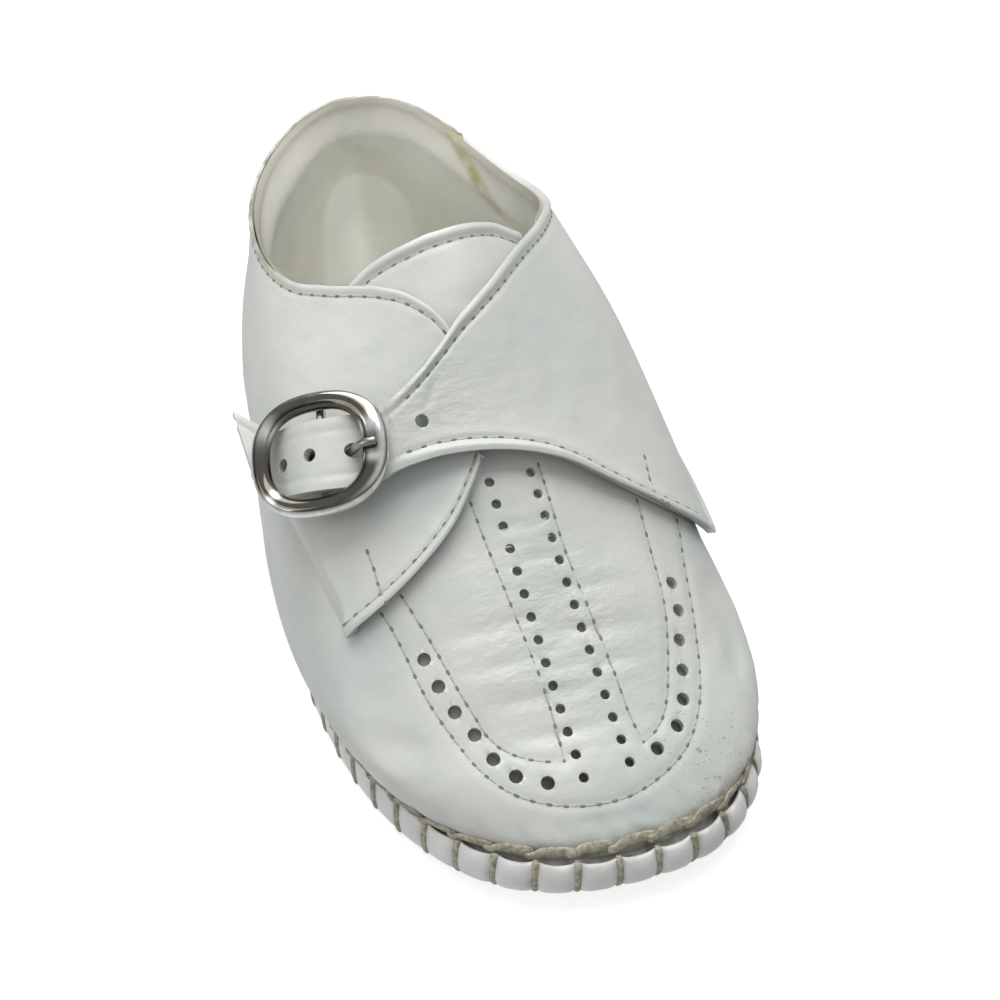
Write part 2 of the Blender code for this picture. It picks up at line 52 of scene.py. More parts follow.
def soft_light(place, target, size, watts):
    """A square light at a place, turned to a target."""
    aim = Vector(target) - Vector(place)
    bpy.ops.object.light_add(type="AREA", location=place, rotation=aim.to_track_quat("-Z", "Y").to_euler())
    made = bpy.context.object.data
    made.size = size
    made.energy = watts
    return made


FLOOR_COLOUR = (0.45, 0.45, 0.45)
FLOOR_GLOW = 0.7
ROOM_COLOUR = (0.95, 0.97, 1.0)
ROOM_LIGHT = 0.68
# The room's light by height, from straight below (0) to straight above (1).
ROOM_TONES = ((0.0, 0.9), (0.44, 0.5), (0.52, 0.07), (0.58, 0.12), (0.82, ROOM_LIGHT), (1.0, ROOM_LIGHT))
OVERHEAD_WATTS = 9.2
FRONT_WATTS = 0.1
SIDE_WATTS = 1.7
COLLAR_WATTS = 0.002
COLLAR_SPREAD = 5.2
SHOE_MIDDLE = (0.0, 0.0, 0.02)
HEEL_LINING = (0.003, 0.06, 0.02)
CAMERA_PLACE = (-0.06386, -0.19027, 0.19885)
CAMERA_TURN = (47.35, 0.0, -20.34)
CAMERA_LENS = 67.86

bpy.ops.object.select_all(action="DESELECT")
bpy.ops.mesh.primitive_plane_add(size=6.0)
floor = bpy.context.object
floor.name = "floor"
floor_finish, floor_shader = new_finish("pale floor", FLOOR_COLOUR, 0.6)
floor_shader.inputs["Emission Color"].default_value = (1, 1, 1, 1)
floor_shader.inputs["Emission Strength"].default_value = FLOOR_GLOW
floor.data.materials.append(floor_finish)
floor.visible_diffuse = False
floor.visible_glossy = False

soft_light((0.08, 0.34, 0.82), SHOE_MIDDLE, 0.9, OVERHEAD_WATTS)
soft_light((0.1, -0.8, 0.5), SHOE_MIDDLE, 0.7, FRONT_WATTS)
soft_light((-0.8, -0.08, 0.22), SHOE_MIDDLE, 0.5, SIDE_WATTS)
collar_light = soft_light((-0.03, -0.22, 0.45), HEEL_LINING, 0.03, COLLAR_WATTS)
collar_light.spread = np.radians(COLLAR_SPREAD)
room = bpy.data.worlds.new("room")
room.use_nodes = True
room_nodes = room.node_tree.nodes
sky = room_nodes["Background"]
sky.inputs["Color"].default_value = (*ROOM_COLOUR, 1)
direction = room_nodes.new("ShaderNodeTexCoord")
upward = room_nodes.new("ShaderNodeSeparateXYZ")
height = room_nodes.new("ShaderNodeMapRange")
height.inputs["From Min"].default_value = -1.0
fade = room_nodes.new("ShaderNodeValToRGB")
stops = fade.color_ramp.elements
for place, grey in ROOM_TONES:
    stop = stops[-round(place)] if place in (0, 1) else stops.new(place)
    stop.color = (grey, grey, grey, 1)
for source, target in (
    (direction.outputs["Generated"], upward.inputs["Vector"]),
    (upward.outputs["Z"], height.inputs["Value"]),
    (height.outputs["Result"], fade.inputs["Fac"]),
    (fade.outputs["Color"], sky.inputs["Strength"]),
):
    room.node_tree.links.new(source, target)
bpy.context.scene.world = room
bpy.context.scene.view_settings.view_transform = "Standard"

bpy.ops.object.camera_add(location=CAMERA_PLACE, rotation=np.radians(CAMERA_TURN))
camera = bpy.context.object
camera.data.lens = CAMERA_LENS
camera.data.sensor_width = 36.0
camera.data.clip_start = 0.01
bpy.context.scene.camera = camera


# Sole: one cut of thick pale leather, turned up round the foot of the upper and whipped to it, so that its
# edge swells into pillows between the stitches. Its shape comes from the last, and sizes are in millimetres.
LAST_COLUMNS = ("z_toe", "z_mid", "z_heel", "y_toe", "y_heel", "lat_ball", "lat_waist", "lat_heel",
                "med_ball", "med_waist", "med_heel", "toe_square", "heel_square", "toe_lean", "hollow")
LAST = np.array([
    (6.5, 5.0, 5.0, -60.5, 60.0, 31.4, 28.0, 22.5, 25.5, 24.0, 21.5, 2.8, 4.2, 3.2, 4.5),
    (9.0, 12.0, 13.0, -59.0, 62.0, 34.7, 31.0, 22.8, 28.8, 26.0, 22.0, 2.8, 3.8, 3.0, 2.0),
    (12.5, 19.0, 21.0, -53.0, 62.8, 32.3, 29.8, 22.4, 27.5, 26.5, 22.0, 3.1, 3.2, 1.0, 0.6),
    (20.0, 26.0, 28.0, -39.5, 62.8, 29.5, 27.5, 21.4, 26.2, 26.0, 21.4, 3.6, 2.7, 0.0, 0.0),
    (28.5, 33.0, 35.0, -25.0, 62.6, 27.0, 25.5, 20.3, 24.0, 25.0, 20.8, 3.4, 2.3, 0.0, 0.0),
    (36.5, 39.0, 41.0, -11.5, 62.3, 24.5, 22.5, 19.0, 22.5, 22.3, 19.5, 2.8, 2.0, 0.0, 0.0),
    (46.5, 44.5, 45.5, 2.0, 62.0, 18.5, 19.5, 18.0, 18.5, 19.8, 18.5, 2.0, 2.0, 0.0, 0.0),
    (54.0, 51.0, 50.5, 13.0, 61.8, 14.0, 17.0, 17.0, 14.0, 17.3, 17.5, 2.0, 2.0, 0.0, 0.0),
])
LEVELS = np.column_stack([np.arange(len(LAST)), LAST])
TOP_LEVEL = len(LAST) - 1.0
WIDTH_STATIONS = (0.2, 0.5, 0.8)
HOLLOW_MIDDLE = 0.52
HOLLOW_HALF = 0.25
TOE_ROUND = 2.4
HEEL_ROUND = 2.0
HEEL_LEAN = 2.5
CENTRE = np.array((-1.35, 0.48, 0.0))
UPPER_WALL = 1.2
GAP = 0.35

PILLOWS = 60
COLUMNS_A_PILLOW = 12
LIP_RISE = 1.05
TOE_SPRING = 1.5
TOE_SPRING_START = -38.0
ARCH_RISE = 1.0
ARCH = (-6.0, 26.0)
# Edge of the sole from the floor, round the pillow and over the lip: row number, distance out from the
# feather edge, height as a share of the band, and how much of the stitch's pull and of the swell it takes.
SOLE_EDGE = np.array([
    (0, -0.8, 0.0, 0.0, 0.0),
    (1, 0.7, 0.015, 0.1, 0.0),
    (2, 1.7, 0.09, 0.5, 0.2),
    (3, 2.4, 0.24, 0.9, 0.7),
    (4, 2.72, 0.45, 1.0, 1.0),
    (5, 2.62, 0.68, 1.0, 1.0),
    (6, 2.25, 0.87, 0.9, 0.9),
    (7, 1.75, 0.985, 0.6, 0.8),
    (8, 1.25, 1.0, 0.3, 0.9),
    (9, 0.95, 0.9, 0.0, 0.9),
    (10, 0.8, 0.66, 0.0, 0.6),
])
# Behind the ball the band lies further in under the upper: angle and share of the band's spread.
BAND_INNER = 0.9
BAND_SPREAD = np.array([
    (-180, 0.5), (-160, 0.5), (-120, 0.35), (-62, 0.25), (-50, 0.25), (-40, 0.4), (-32, 0.75), (-24, 1.0),
    (0, 1.0), (34, 1.0), (44, 0.7), (54, 0.4), (75, 0.3), (120, 0.35), (160, 0.5), (180, 0.5),
])
STITCH_PULL = 0.5
PULL_HALF = 0.13
PILLOW_SWELL = 0.22
LENS_DIP = 0.5
UNDERSIDE_ROWS = 7
EDGE_STEPS = 3


def through(x, table):
    """Smooth curve through a table whose first column rises: its other columns at each x."""
    x = np.asarray(x, float)
    knots = table[:, 0]
    slopes = np.gradient(table[:, 1:], knots, axis=0)
    k = np.clip(np.searchsorted(knots, x) - 1, 0, len(knots) - 2)
    span = (knots[k + 1] - knots[k])[..., None]
    t = (x - knots[k])[..., None] / span
    start, end = table[k, 1:], table[k + 1, 1:]
    return ((1 + 2 * t) * (1 - t) ** 2 * start + t * t * (3 - 2 * t) * end
            + span * t * (1 - t) * ((1 - t) * slopes[k] - t * slopes[k + 1]))


def bell(value, middle, half):
    """One at the middle, falling off softly on both sides."""
    return np.exp(-((value - middle) / half) ** 2)


def ramp(value, start, length):
    """Zero before the start, rising to one over a length. With a negative length it falls to zero there."""
    return np.clip((value - start) / length, 0, 1)


def unit(vectors):
    """Directions of length one."""
    return vectors / np.linalg.norm(vectors, axis=-1, keepdims=True)


def run_along(line):
    """How far each point of a line lies from its start, along the line."""
    return np.concatenate([[0], np.cumsum(np.linalg.norm(np.diff(line, axis=0), axis=1))])


def last_point(angle, level):
    """Points of the last at angles round the foot and levels between its contours."""
    angle, level = np.broadcast_arrays(np.asarray(angle, float), np.asarray(level, float))
    row = dict(zip(LAST_COLUMNS, np.moveaxis(through(level, LEVELS), -1, 0)))
    angle = (angle + 180) % 360 - 180
    cosine = np.cos(np.radians(angle))
    share = (1 - cosine) / 2
    medial = angle >= 0
    ball, waist, heel = WIDTH_STATIONS
    at_ball = np.where(medial, row["med_ball"], row["lat_ball"]) / ((ball - waist) * (ball - heel))
    at_waist = np.where(medial, row["med_waist"], row["lat_waist"]) / ((waist - ball) * (waist - heel))
    at_heel = np.where(medial, row["med_heel"], row["lat_heel"]) / ((heel - ball) * (heel - waist))
    width = (at_ball * (share - waist) * (share - heel) + at_waist * (share - ball) * (share - heel)
             + at_heel * (share - ball) * (share - waist))
    from_hollow = np.minimum(np.abs(share - HOLLOW_MIDDLE) / HOLLOW_HALF, 1)
    width = width - medial * row["hollow"] * np.cos(from_hollow * np.pi / 2) ** 2
    square = np.where(cosine > 0, row["toe_square"], row["heel_square"])
    end_round = np.where(cosine > 0, TOE_ROUND, HEEL_ROUND)
    reach = np.maximum(1 - np.abs(cosine) ** square, 0) ** (1 / end_round)
    x = np.where(medial, 1, -1) * width * reach + row["toe_lean"] * (1 - share) ** 2 + HEEL_LEAN * share ** 2
    y = row["y_toe"] + (row["y_heel"] - row["y_toe"]) * share
    middle = 2 * row["z_mid"] - (row["z_toe"] + row["z_heel"]) / 2
    z = row["z_toe"] * (1 - share) ** 2 + middle * 2 * share * (1 - share) + row["z_heel"] * share ** 2
    return np.stack([x, y, z], axis=-1)


def last_normal(angle, level):
    """Outward directions of the last."""
    level = np.clip(level, 0.02, TOP_LEVEL - 0.02)
    around = last_point(np.add(angle, 1), level) - last_point(np.subtract(angle, 1), level)
    upward = last_point(angle, level + 0.02) - last_point(angle, level - 0.02)
    return unit(np.cross(around, upward))


def lifted(angle, level, lift):
    """Points at a distance out from the last."""
    return last_point(angle, level) + last_normal(angle, level) * np.asarray(lift)[..., None]


def level_at(angle, height):
    """Levels where the last reaches given heights."""
    angle, height = np.broadcast_arrays(np.asarray(angle, float), np.asarray(height, float))
    low = np.zeros(angle.shape)
    high = np.full(angle.shape, TOP_LEVEL)
    for _ in range(22):
        middle = (low + high) / 2
        below = last_point(angle, middle)[..., 2] < height
        low = np.where(below, middle, low)
        high = np.where(below, high, middle)
    return (low + high) / 2


def part_frame(points):
    """Millimetres over the last to metres in the part's own frame."""
    return (points - CENTRE) * 0.001


def sheet_mesh(name, points):
    """A grid primitive laid on rows of points, with its smooth shading."""
    rows, columns = points.shape[:2]
    bpy.ops.object.select_all(action="DESELECT")
    bpy.ops.mesh.primitive_grid_add(x_subdivisions=columns - 1, y_subdivisions=rows - 1, size=2)
    sheet = bpy.context.object
    sheet.name = name
    sheet.data.name = name
    flat = np.empty(rows * columns * 3)
    sheet.data.vertices.foreach_get("co", flat)
    flat = flat.reshape(-1, 3)
    column = np.rint((flat[:, 0] + 1) / 2 * (columns - 1)).astype(int)
    row = np.rint((flat[:, 1] + 1) / 2 * (rows - 1)).astype(int)
    sheet.data.vertices.foreach_set("co", part_frame(points[row, column]).ravel())
    sheet.data.update()
    bpy.ops.object.shade_smooth()
    return sheet, (row, column)


def mark(sheet, place, name, values):
    """Keep a number at each point of a sheet, for its finish to read."""
    layer = sheet.data.attributes.new(name, "FLOAT", "POINT")
    layer.data.foreach_set("value", np.ascontiguousarray(values[place], dtype=np.float32))


def close_seams(sheet):
    """Weld the points that lie on each other and turn the faces outwards."""
    bpy.ops.object.mode_set(mode="EDIT")
    bpy.ops.mesh.select_all(action="SELECT")
    bpy.ops.mesh.remove_doubles(threshold=0.000002)
    bpy.ops.mesh.normals_make_consistent(inside=False)
    bpy.ops.object.mode_set(mode="OBJECT")


def sole_bottom(y):
    """Height of the underside: flat at heel and forefoot, sprung at the toe, raised at the arch."""
    toe = np.clip((TOE_SPRING_START - y) / (TOE_SPRING_START - LAST[0, 3]), 0, None)
    arch = ramp(y, ARCH[0], ARCH[1] - ARCH[0])
    return TOE_SPRING * toe ** 2 + ARCH_RISE * np.sin(np.pi * arch) ** 2


walk_angles = np.linspace(0, 360, 1441)
walk_lengths = run_along(last_point(walk_angles, 0)[:, :2])
half_way = walk_lengths[len(walk_angles) // 2]
walk_pillows = np.where(walk_lengths <= half_way, walk_lengths / half_way,
                        1 + (walk_lengths - half_way) / (walk_lengths[-1] - half_way)) * PILLOWS / 2


def pillow_phase(angle):
    """Where an angle lies between two whip stitches, 0 and 1 being the stitches."""
    return np.interp(np.mod(angle, 360), walk_angles, walk_pillows) % 1


def pulled(phase):
    """How much a whip stitch pulls the leather in."""
    return bell(np.minimum(phase, 1 - phase), 0, PULL_HALF)


def swollen(phase):
    """How much the leather swells between two whip stitches."""
    return np.sin(np.pi * phase) ** 0.7


def sole_edge(angle, phase):
    """Rows of points over the sole's edge at each angle, and the outward directions there."""
    feather = last_point(angle, 0)
    ahead = last_point(np.add(angle, 0.5), 0) - last_point(np.subtract(angle, 0.5), 0)
    outward = unit(np.stack([ahead[:, 1], -ahead[:, 0], np.zeros(len(ahead))], axis=-1))
    steps = np.arange((len(SOLE_EDGE) - 1) * EDGE_STEPS + 1) / EDGE_STEPS
    distance, share, pull, swell = [value[:, None] for value in through(steps, SOLE_EDGE).T]
    distance = distance - pull * STITCH_PULL * pulled(phase) + swell * PILLOW_SWELL * swollen(phase)
    spread = np.interp((angle + 180) % 360 - 180, BAND_SPREAD[:, 0], BAND_SPREAD[:, 1])
    distance = np.minimum(distance, BAND_INNER) + np.maximum(distance - BAND_INNER, 0) * spread
    points = feather + outward * distance[..., None]
    bottom = sole_bottom(points[..., 1])
    lip = feather[:, 2] + LIP_RISE - LENS_DIP * swollen(phase)
    points[..., 2] = bottom + np.clip(share, 0, 1) * (lip - bottom)
    return points, outward


sole_count = PILLOWS * COLUMNS_A_PILLOW
sole_numbers = np.arange(sole_count + 1) / COLUMNS_A_PILLOW
sole_angles = np.interp(sole_numbers, walk_pillows, walk_angles)
sole_phase = sole_numbers % 1
edge_points, sole_outward = sole_edge(sole_angles, sole_phase)
across = edge_points[0, ::-1]
inward = np.linspace(1, 0, UNDERSIDE_ROWS, endpoint=False)[:, None, None] / 2
under_points = edge_points[0] * (1 - inward) + across * inward
under_points[..., 2] = sole_bottom(under_points[..., 1])
floor_edge = last_point(sole_angles, 0) + sole_outward * 0.5
floor_edge[:, 2] -= 2 * GAP
floor_middle = (floor_edge + floor_edge[::-1]) / 2
sole_points = np.concatenate([under_points, edge_points, floor_edge[None], floor_middle[None]])
sole, sole_place = sheet_mesh("turned_sole", sole_points)
edge_rows = np.arange(len(sole_points)) - UNDERSIDE_ROWS
row_share = np.clip(edge_rows / (len(edge_points) - 1), 0, 1)[:, None]
# Soil mark: dirt low on the edge and at the toe, painted shade over the lip in the slot under the rope.
low_dirt = bell(row_share, 0.16, 0.1)
lip_dirt_and_shade = ramp(row_share, 0.62, 0.2)
toe_dirt = bell(sole_angles, 22, 30) + bell(sole_angles, 360, 40)
sole_soil_and_shade = (0.25 * low_dirt + 0.8 * lip_dirt_and_shade) * (0.5 + 0.5 * toe_dirt)
# Painted shadow in the grooves beside each whip stitch.
sole_soil_and_shade = sole_soil_and_shade + 0.75 * pulled(sole_phase) * (row_share > 0)
mark(sole, sole_place, "soil", np.clip(sole_soil_and_shade, 0, 1))
mark(sole, sole_place, "underside", np.broadcast_to((edge_rows <= 3)[:, None] * 1.0, sole_soil_and_shade.shape))
close_seams(sole)


def add_node(made, kind, **values):
    """A node with values set on its sockets, by their names with _ for a space."""
    added = made.node_tree.nodes.new(kind)
    for socket, value in values.items():
        added.inputs[socket.replace("_", " ")].default_value = value
    return added


def connect(made, source, target):
    """Lead one socket into another."""
    made.node_tree.links.new(source, target)


def noise(made, scale, detail=3.0, roughness=0.55, stretch=(1, 1, 1)):
    """Cloudy noise in the object's own space, with a scale per metre, closer or wider along its axes."""
    cloud = add_node(made, "ShaderNodeTexNoise", Scale=scale, Detail=detail, Roughness=roughness)
    place = add_node(made, "ShaderNodeTexCoord")
    spread = add_node(made, "ShaderNodeMapping", Scale=stretch)
    connect(made, place.outputs["Object"], spread.inputs["Vector"])
    connect(made, spread.outputs["Vector"], cloud.inputs["Vector"])
    return cloud.outputs["Fac"]


def stretched(made, value, low, high, to_low=0.0, to_high=1.0):
    """A value's range from low to high, spread over another range and cut off outside it."""
    ranged = add_node(made, "ShaderNodeMapRange")
    connect(made, value, ranged.inputs["Value"])
    for socket, number in zip(("From Min", "From Max", "To Min", "To Max"), (low, high, to_low, to_high)):
        ranged.inputs[socket].default_value = number
    return ranged.outputs["Result"]


def clouded(made, scale, detail, low, high, to_low=0.0, to_high=1.0):
    """Noise of a scale and detail with its range from low to high spread over another range."""
    return stretched(made, noise(made, scale, detail), low, high, to_low, to_high)


def times(made, first, second):
    """Two values multiplied, of which the second may be a number."""
    product = add_node(made, "ShaderNodeMath")
    product.operation = "MULTIPLY"
    connect(made, first, product.inputs[0])
    if isinstance(second, float):
        product.inputs[1].default_value = second
    else:
        connect(made, second, product.inputs[1])
    return product.outputs["Value"]


def marked(made, name):
    """The number kept at each point of a sheet under a name."""
    layer = add_node(made, "ShaderNodeAttribute")
    layer.attribute_name = name
    return layer.outputs["Fac"]


def tinted(made, below, amount, colour):
    """A colour laid over what is below it by an amount."""
    mixed = add_node(made, "ShaderNodeMix")
    mixed.data_type = "RGBA"
    connect(made, amount, mixed.inputs[0])
    if isinstance(below, tuple):
        mixed.inputs[6].default_value = (*below, 1)
    else:
        connect(made, below, mixed.inputs[6])
    mixed.inputs[7].default_value = (*colour, 1)
    return mixed.outputs[2]


def stained(made, below, name, amount, colour):
    """A colour laid over what is below it, where a sheet's kept number says, by an amount."""
    return tinted(made, below, times(made, marked(made, name), amount), colour)


def raised(made, height, strength, distance, under=None):
    """Bump from a height, on top of another bump."""
    bump = add_node(made, "ShaderNodeBump", Strength=strength, Distance=distance)
    connect(made, height, bump.inputs["Height"])
    if under:
        connect(made, under, bump.inputs["Normal"])
    return bump.outputs["Normal"]


def grained(made, grains):
    """Bumps of noise on each other: the scale, detail, strength and depth of each, the lowest one first."""
    surface = None
    for scale, detail, strength, depth in grains:
        surface = raised(made, noise(made, scale, detail), strength, depth, surface)
    return surface


SOLE_PALE = (0.71, 0.71, 0.68)
SOLE_DEEP = (0.62, 0.62, 0.585)
SOLE_UNDER = (0.50, 0.44, 0.34)
SOLE_SOIL_AND_SHADE = (0.20, 0.18, 0.125)
sole_finish, shader = new_finish("sole leather", SOLE_PALE, 0.5)
tone = tinted(sole_finish, SOLE_PALE, clouded(sole_finish, 130.0, 3.0, 0.4, 0.7), SOLE_DEEP)
tone = stained(sole_finish, tone, "underside", 0.9, SOLE_UNDER)
# Soil colour: dirt, and painted shade in the slot and beside the stitches.
tone = stained(sole_finish, tone, "soil", clouded(sole_finish, 420.0, 4.0, 0.36, 0.66), SOLE_SOIL_AND_SHADE)
connect(sole_finish, tone, shader.inputs["Base Color"])
connect(sole_finish, clouded(sole_finish, 300.0, 3.0, 0.3, 0.7, 0.4, 0.6), shader.inputs["Roughness"])
sole_grain = ((2400.0, 2.0, 0.12, 0.0002), (500.0, 4.0, 0.2, 0.0005))
connect(sole_finish, grained(sole_finish, sole_grain), shader.inputs["Normal"])
sole.data.materials.append(sole_finish)
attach(sole, "root")
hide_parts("sole")


# Whip stitches: a thick waxed thread, pulled up the sole's edge between two pillows, then carried along the
# foot of the upper to the next stitch, so that the carried lengths lie end to end like a rope.
THREAD_WIDTH = 0.52
THREAD_DEPTH = 0.3
ROPE_RADIUS = 0.84
ROPE_DEPTH = 0.42
ROPE_HEIGHT = 1.2
ROPE_LIFT = 0.34
THREAD_SIDES = 8
THREAD_COLOUR = (0.54, 0.51, 0.41)
THREAD_DARK = (0.24, 0.215, 0.15)
THREAD_GRIME = (0.13, 0.11, 0.075)
GRIMY_TOE = np.array((20.0, -48.0))
GRIMY_HALF = np.array((13.0, 15.0))


def joined_mesh(name, points, faces):
    """A smooth piece from points in millimetres and faces, selected and active."""
    mesh = bpy.data.meshes.new(name)
    mesh.from_pydata(part_frame(points).tolist(), [], faces)
    made = bpy.data.objects.new(name, mesh)
    bpy.context.scene.collection.objects.link(made)
    bpy.ops.object.select_all(action="DESELECT")
    bpy.context.view_layer.objects.active = made
    made.select_set(True)
    bpy.ops.object.shade_smooth()
    return made


def strands(name, path, outward, wide, deep):
    """Flattened cords with thin ends, in one mesh: points along the first axis, cords along the second."""
    ahead = np.gradient(path, axis=0)
    side = unit(np.cross(ahead, outward))
    out = unit(np.cross(side, ahead))
    taper = np.sin(np.linspace(0.08, 0.92, len(path)) * np.pi) ** 0.4
    turns = np.linspace(0, 2 * np.pi, THREAD_SIDES, endpoint=False)[:, None]
    ring = side[:, :, None] * np.cos(turns) * wide + out[:, :, None] * np.sin(turns) * deep
    rings = np.swapaxes(path[:, :, None] + ring * taper[:, None, None, None], 0, 1)
    count, steps, sides = rings.shape[:3]
    number = np.arange(steps * sides).reshape(steps, sides)
    around = np.roll(number, -1, axis=1)
    quads = np.stack([number[:-1], around[:-1], around[1:], number[1:]], axis=-1).reshape(-1, 4)
    faces = [tuple(quad + k * steps * sides) for k in range(count) for quad in quads]
    faces += [tuple(end + k * steps * sides) for k in range(count) for end in (number[0][::-1], number[-1])]
    made = joined_mesh(name, rings.reshape(-1, 3), faces)
    close_seams(made)
    return made


stitch_numbers = np.arange(PILLOWS) + 0.0
stitch_angles = np.interp(stitch_numbers, walk_pillows, walk_angles)
stitch_rows, stitch_outward = sole_edge(stitch_angles, np.zeros(PILLOWS))
up_edge = stitch_rows[4:28:2] + stitch_outward * 0.1
whip = strands("whip_stitches", up_edge, stitch_outward, THREAD_WIDTH, THREAD_DEPTH)
rope_share = np.linspace(-0.16, 1.1, 13)[:, None]
rope_angles = np.interp((stitch_numbers + rope_share) % PILLOWS, walk_pillows, walk_angles)
rope_height = ROPE_HEIGHT + 0.35 * np.sin(np.pi * np.clip(rope_share, 0, 1)) + 0.8 * ramp(rope_share, 0.65, 1)
rope_height = rope_height + 0.12 * np.sin(stitch_numbers * 2.4)
rope_level = level_at(rope_angles, last_point(rope_angles, 0)[..., 2] + rope_height)
rope_lift = ROPE_LIFT + 0.5 * bell(rope_share, 0, 0.2)
rope_path = lifted(rope_angles, rope_level, np.broadcast_to(rope_lift, rope_angles.shape))
rope = strands("whip_rope", rope_path, last_normal(rope_angles, rope_level), ROPE_RADIUS, ROPE_DEPTH)
thread_finish, shader = new_finish("waxed thread", THREAD_COLOUR, 0.7)
tone = tinted(thread_finish, THREAD_COLOUR, clouded(thread_finish, 1500.0, 2.0, 0.35, 0.7), THREAD_DARK)
tone = stained(thread_finish, tone, "grime", clouded(thread_finish, 420.0, 4.0, 0.3, 0.6), THREAD_GRIME)
connect(thread_finish, tone, shader.inputs["Base Color"])
connect(thread_finish, grained(thread_finish, ((3500.0, 2.0, 0.5, 0.0003),)), shader.inputs["Normal"])
for piece in (whip, rope):
    spots = np.array([vertex.co for vertex in piece.data.vertices]) * 1000 + CENTRE
    grime = np.exp(-np.sum(((spots[:, :2] - GRIMY_TOE) / GRIMY_HALF) ** 2, axis=1))
    mark(piece, slice(None), "grime", 0.3 + 0.7 * grime)
    piece.data.materials.append(thread_finish)
    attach(piece, "root")


# Insole: thin lining leather over the sole's inner face, with a slightly raised rounded pad at the heel.
# It is glued in and its edge lies along the foot of the lining.
INSOLE_THICKNESS = 1.4
INSOLE_COLUMNS = 240
INSOLE_ROWS = 44
PAD_MIDDLE = np.array((2.2, 37.0))
PAD_HALF = np.array((14.0, 19.5))
PAD_RISE = 0.7


def eased(share):
    """A share from 0 to 1 with a soft start and end."""
    return share * share * (3 - 2 * share)


insole_angles = np.linspace(0, 360, INSOLE_COLUMNS + 1)
inside = -(UPPER_WALL + 2 * GAP)
insole_low = lifted(insole_angles, 0.0, inside)
insole_low[:, 2] = last_point(insole_angles, 0)[:, 2]
insole_top = lifted(insole_angles, level_at(insole_angles, insole_low[:, 2] + INSOLE_THICKNESS), inside)
insole_top[:, 2] = insole_low[:, 2] + INSOLE_THICKNESS
shares = np.linspace(0, 1, INSOLE_ROWS)[:, None, None] / 2
top_rows = insole_top * (1 - shares) + insole_top[::-1] * shares
pad = np.linalg.norm((top_rows[..., :2] - PAD_MIDDLE) / PAD_HALF, axis=2)
pad = eased(ramp(pad, 1, -0.12))
top_rows[..., 2] += PAD_RISE * pad
top_rows[..., 2] += 0.12 * np.sin(top_rows[..., 0] * 0.45 + top_rows[..., 1] * 0.21) * (shares[..., 0] > 0.02)
low_middle = (insole_low + insole_low[::-1]) / 2
insole_points = np.concatenate([low_middle[None], insole_low[None], top_rows])
insole, insole_place = sheet_mesh("inner_sole", insole_points)
mark(insole, insole_place, "pad", np.concatenate([np.zeros((2, INSOLE_COLUMNS + 1)), pad]))
close_seams(insole)
INSOLE_COLOUR = (0.74, 0.74, 0.67)
INSOLE_PAD_COLOUR = (0.78, 0.78, 0.71)
INSOLE_WORN = (0.66, 0.655, 0.58)
insole_finish, shader = new_finish("insole leather", INSOLE_COLOUR, 0.6)
tone = tinted(insole_finish, INSOLE_COLOUR, marked(insole_finish, "pad"), INSOLE_PAD_COLOUR)
tone = tinted(insole_finish, tone, clouded(insole_finish, 90.0, 5.0, 0.45, 0.75), INSOLE_WORN)
connect(insole_finish, tone, shader.inputs["Base Color"])
insole_grain = ((1800.0, 3.0, 0.15, 0.0003), (260.0, 4.0, 0.25, 0.0008))
connect(insole_finish, grained(insole_finish, insole_grain), shader.inputs["Normal"])
insole.data.materials.append(insole_finish)
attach(insole, "root")
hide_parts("insole")


# Upper: white smooth leather drawn over the last, open at the collar and throat. Its foot is gathered into
# a puckered ridge by the whip stitches, its vamp is creased by walking, and it is pierced by four rows of
# holes. Its top edge is pared thin under the quarters.
TOPLINE = np.array([
    (-180, 43.7), (-125, 43.7), (-90, 43.2), (-68, 43.3), (-50, 45.6), (-36, 46.6), (-22, 44.5), (-9, 39.0),
    (0, 37.5), (9, 39.0), (22, 44.5), (36, 46.6), (50, 46.2), (69, 44.2), (92, 41.2), (115, 39.8),
    (130, 41.6), (145, 43.5), (180, 43.7),
])
UPPER_COLUMNS = 350
UPPER_ROWS = 112
UPPER_CROWDING = 1.2
SKIVE_DEPTH = 4.5
SKIVE_LIFT = 0.55
APRON_OUTER = np.array([
    (-23.4, -21.0), (-22.0, -24.2), (-20.7, -27.6), (-19.9, -31.4), (-19.3, -35.4), (-18.5, -39.1),
    (-17.2, -43.0), (-15.2, -47.6), (-13.4, -50.2), (-11.4, -52.1), (-8.8, -53.7), (-4.0, -55.4),
    (-0.9, -55.8), (2.4, -55.7), (5.3, -55.0), (7.6, -54.1), (10.3, -52.6), (12.4, -50.7), (14.3, -48.3),
    (15.9, -45.5), (17.7, -41.3), (18.8, -37.7), (20.8, -29.6), (22.2, -23.6), (23.0, -19.0),
])
APRON_LATERAL = np.array([
    (-18.6, -24.0), (-17.2, -28.8), (-15.9, -33.6), (-15.1, -37.2), (-13.9, -41.7), (-12.7, -45.3),
    (-10.3, -47.8), (-7.2, -49.4), (-4.8, -50.1),
])
APRON_MEDIAL = np.array([
    (5.8, -50.5), (7.2, -49.9), (9.0, -48.6), (10.8, -46.3), (12.9, -42.0), (14.5, -37.9), (15.5, -34.2),
    (16.3, -28.0), (16.9, -21.5),
])
STRIP_LATERAL = np.array([
    (-4.8, -50.1), (-4.5, -46.5), (-4.3, -42.5), (-4.5, -37.5), (-4.9, -33.0), (-5.3, -28.6), (-5.8, -21.7),
    (-6.0, -17.0),
])
STRIP_MEDIAL = np.array([
    (5.8, -50.5), (5.4, -48.0), (5.3, -43.0), (5.1, -38.0), (4.7, -33.0), (4.3, -28.0), (4.4, -20.2),
    (4.5, -16.5),
])
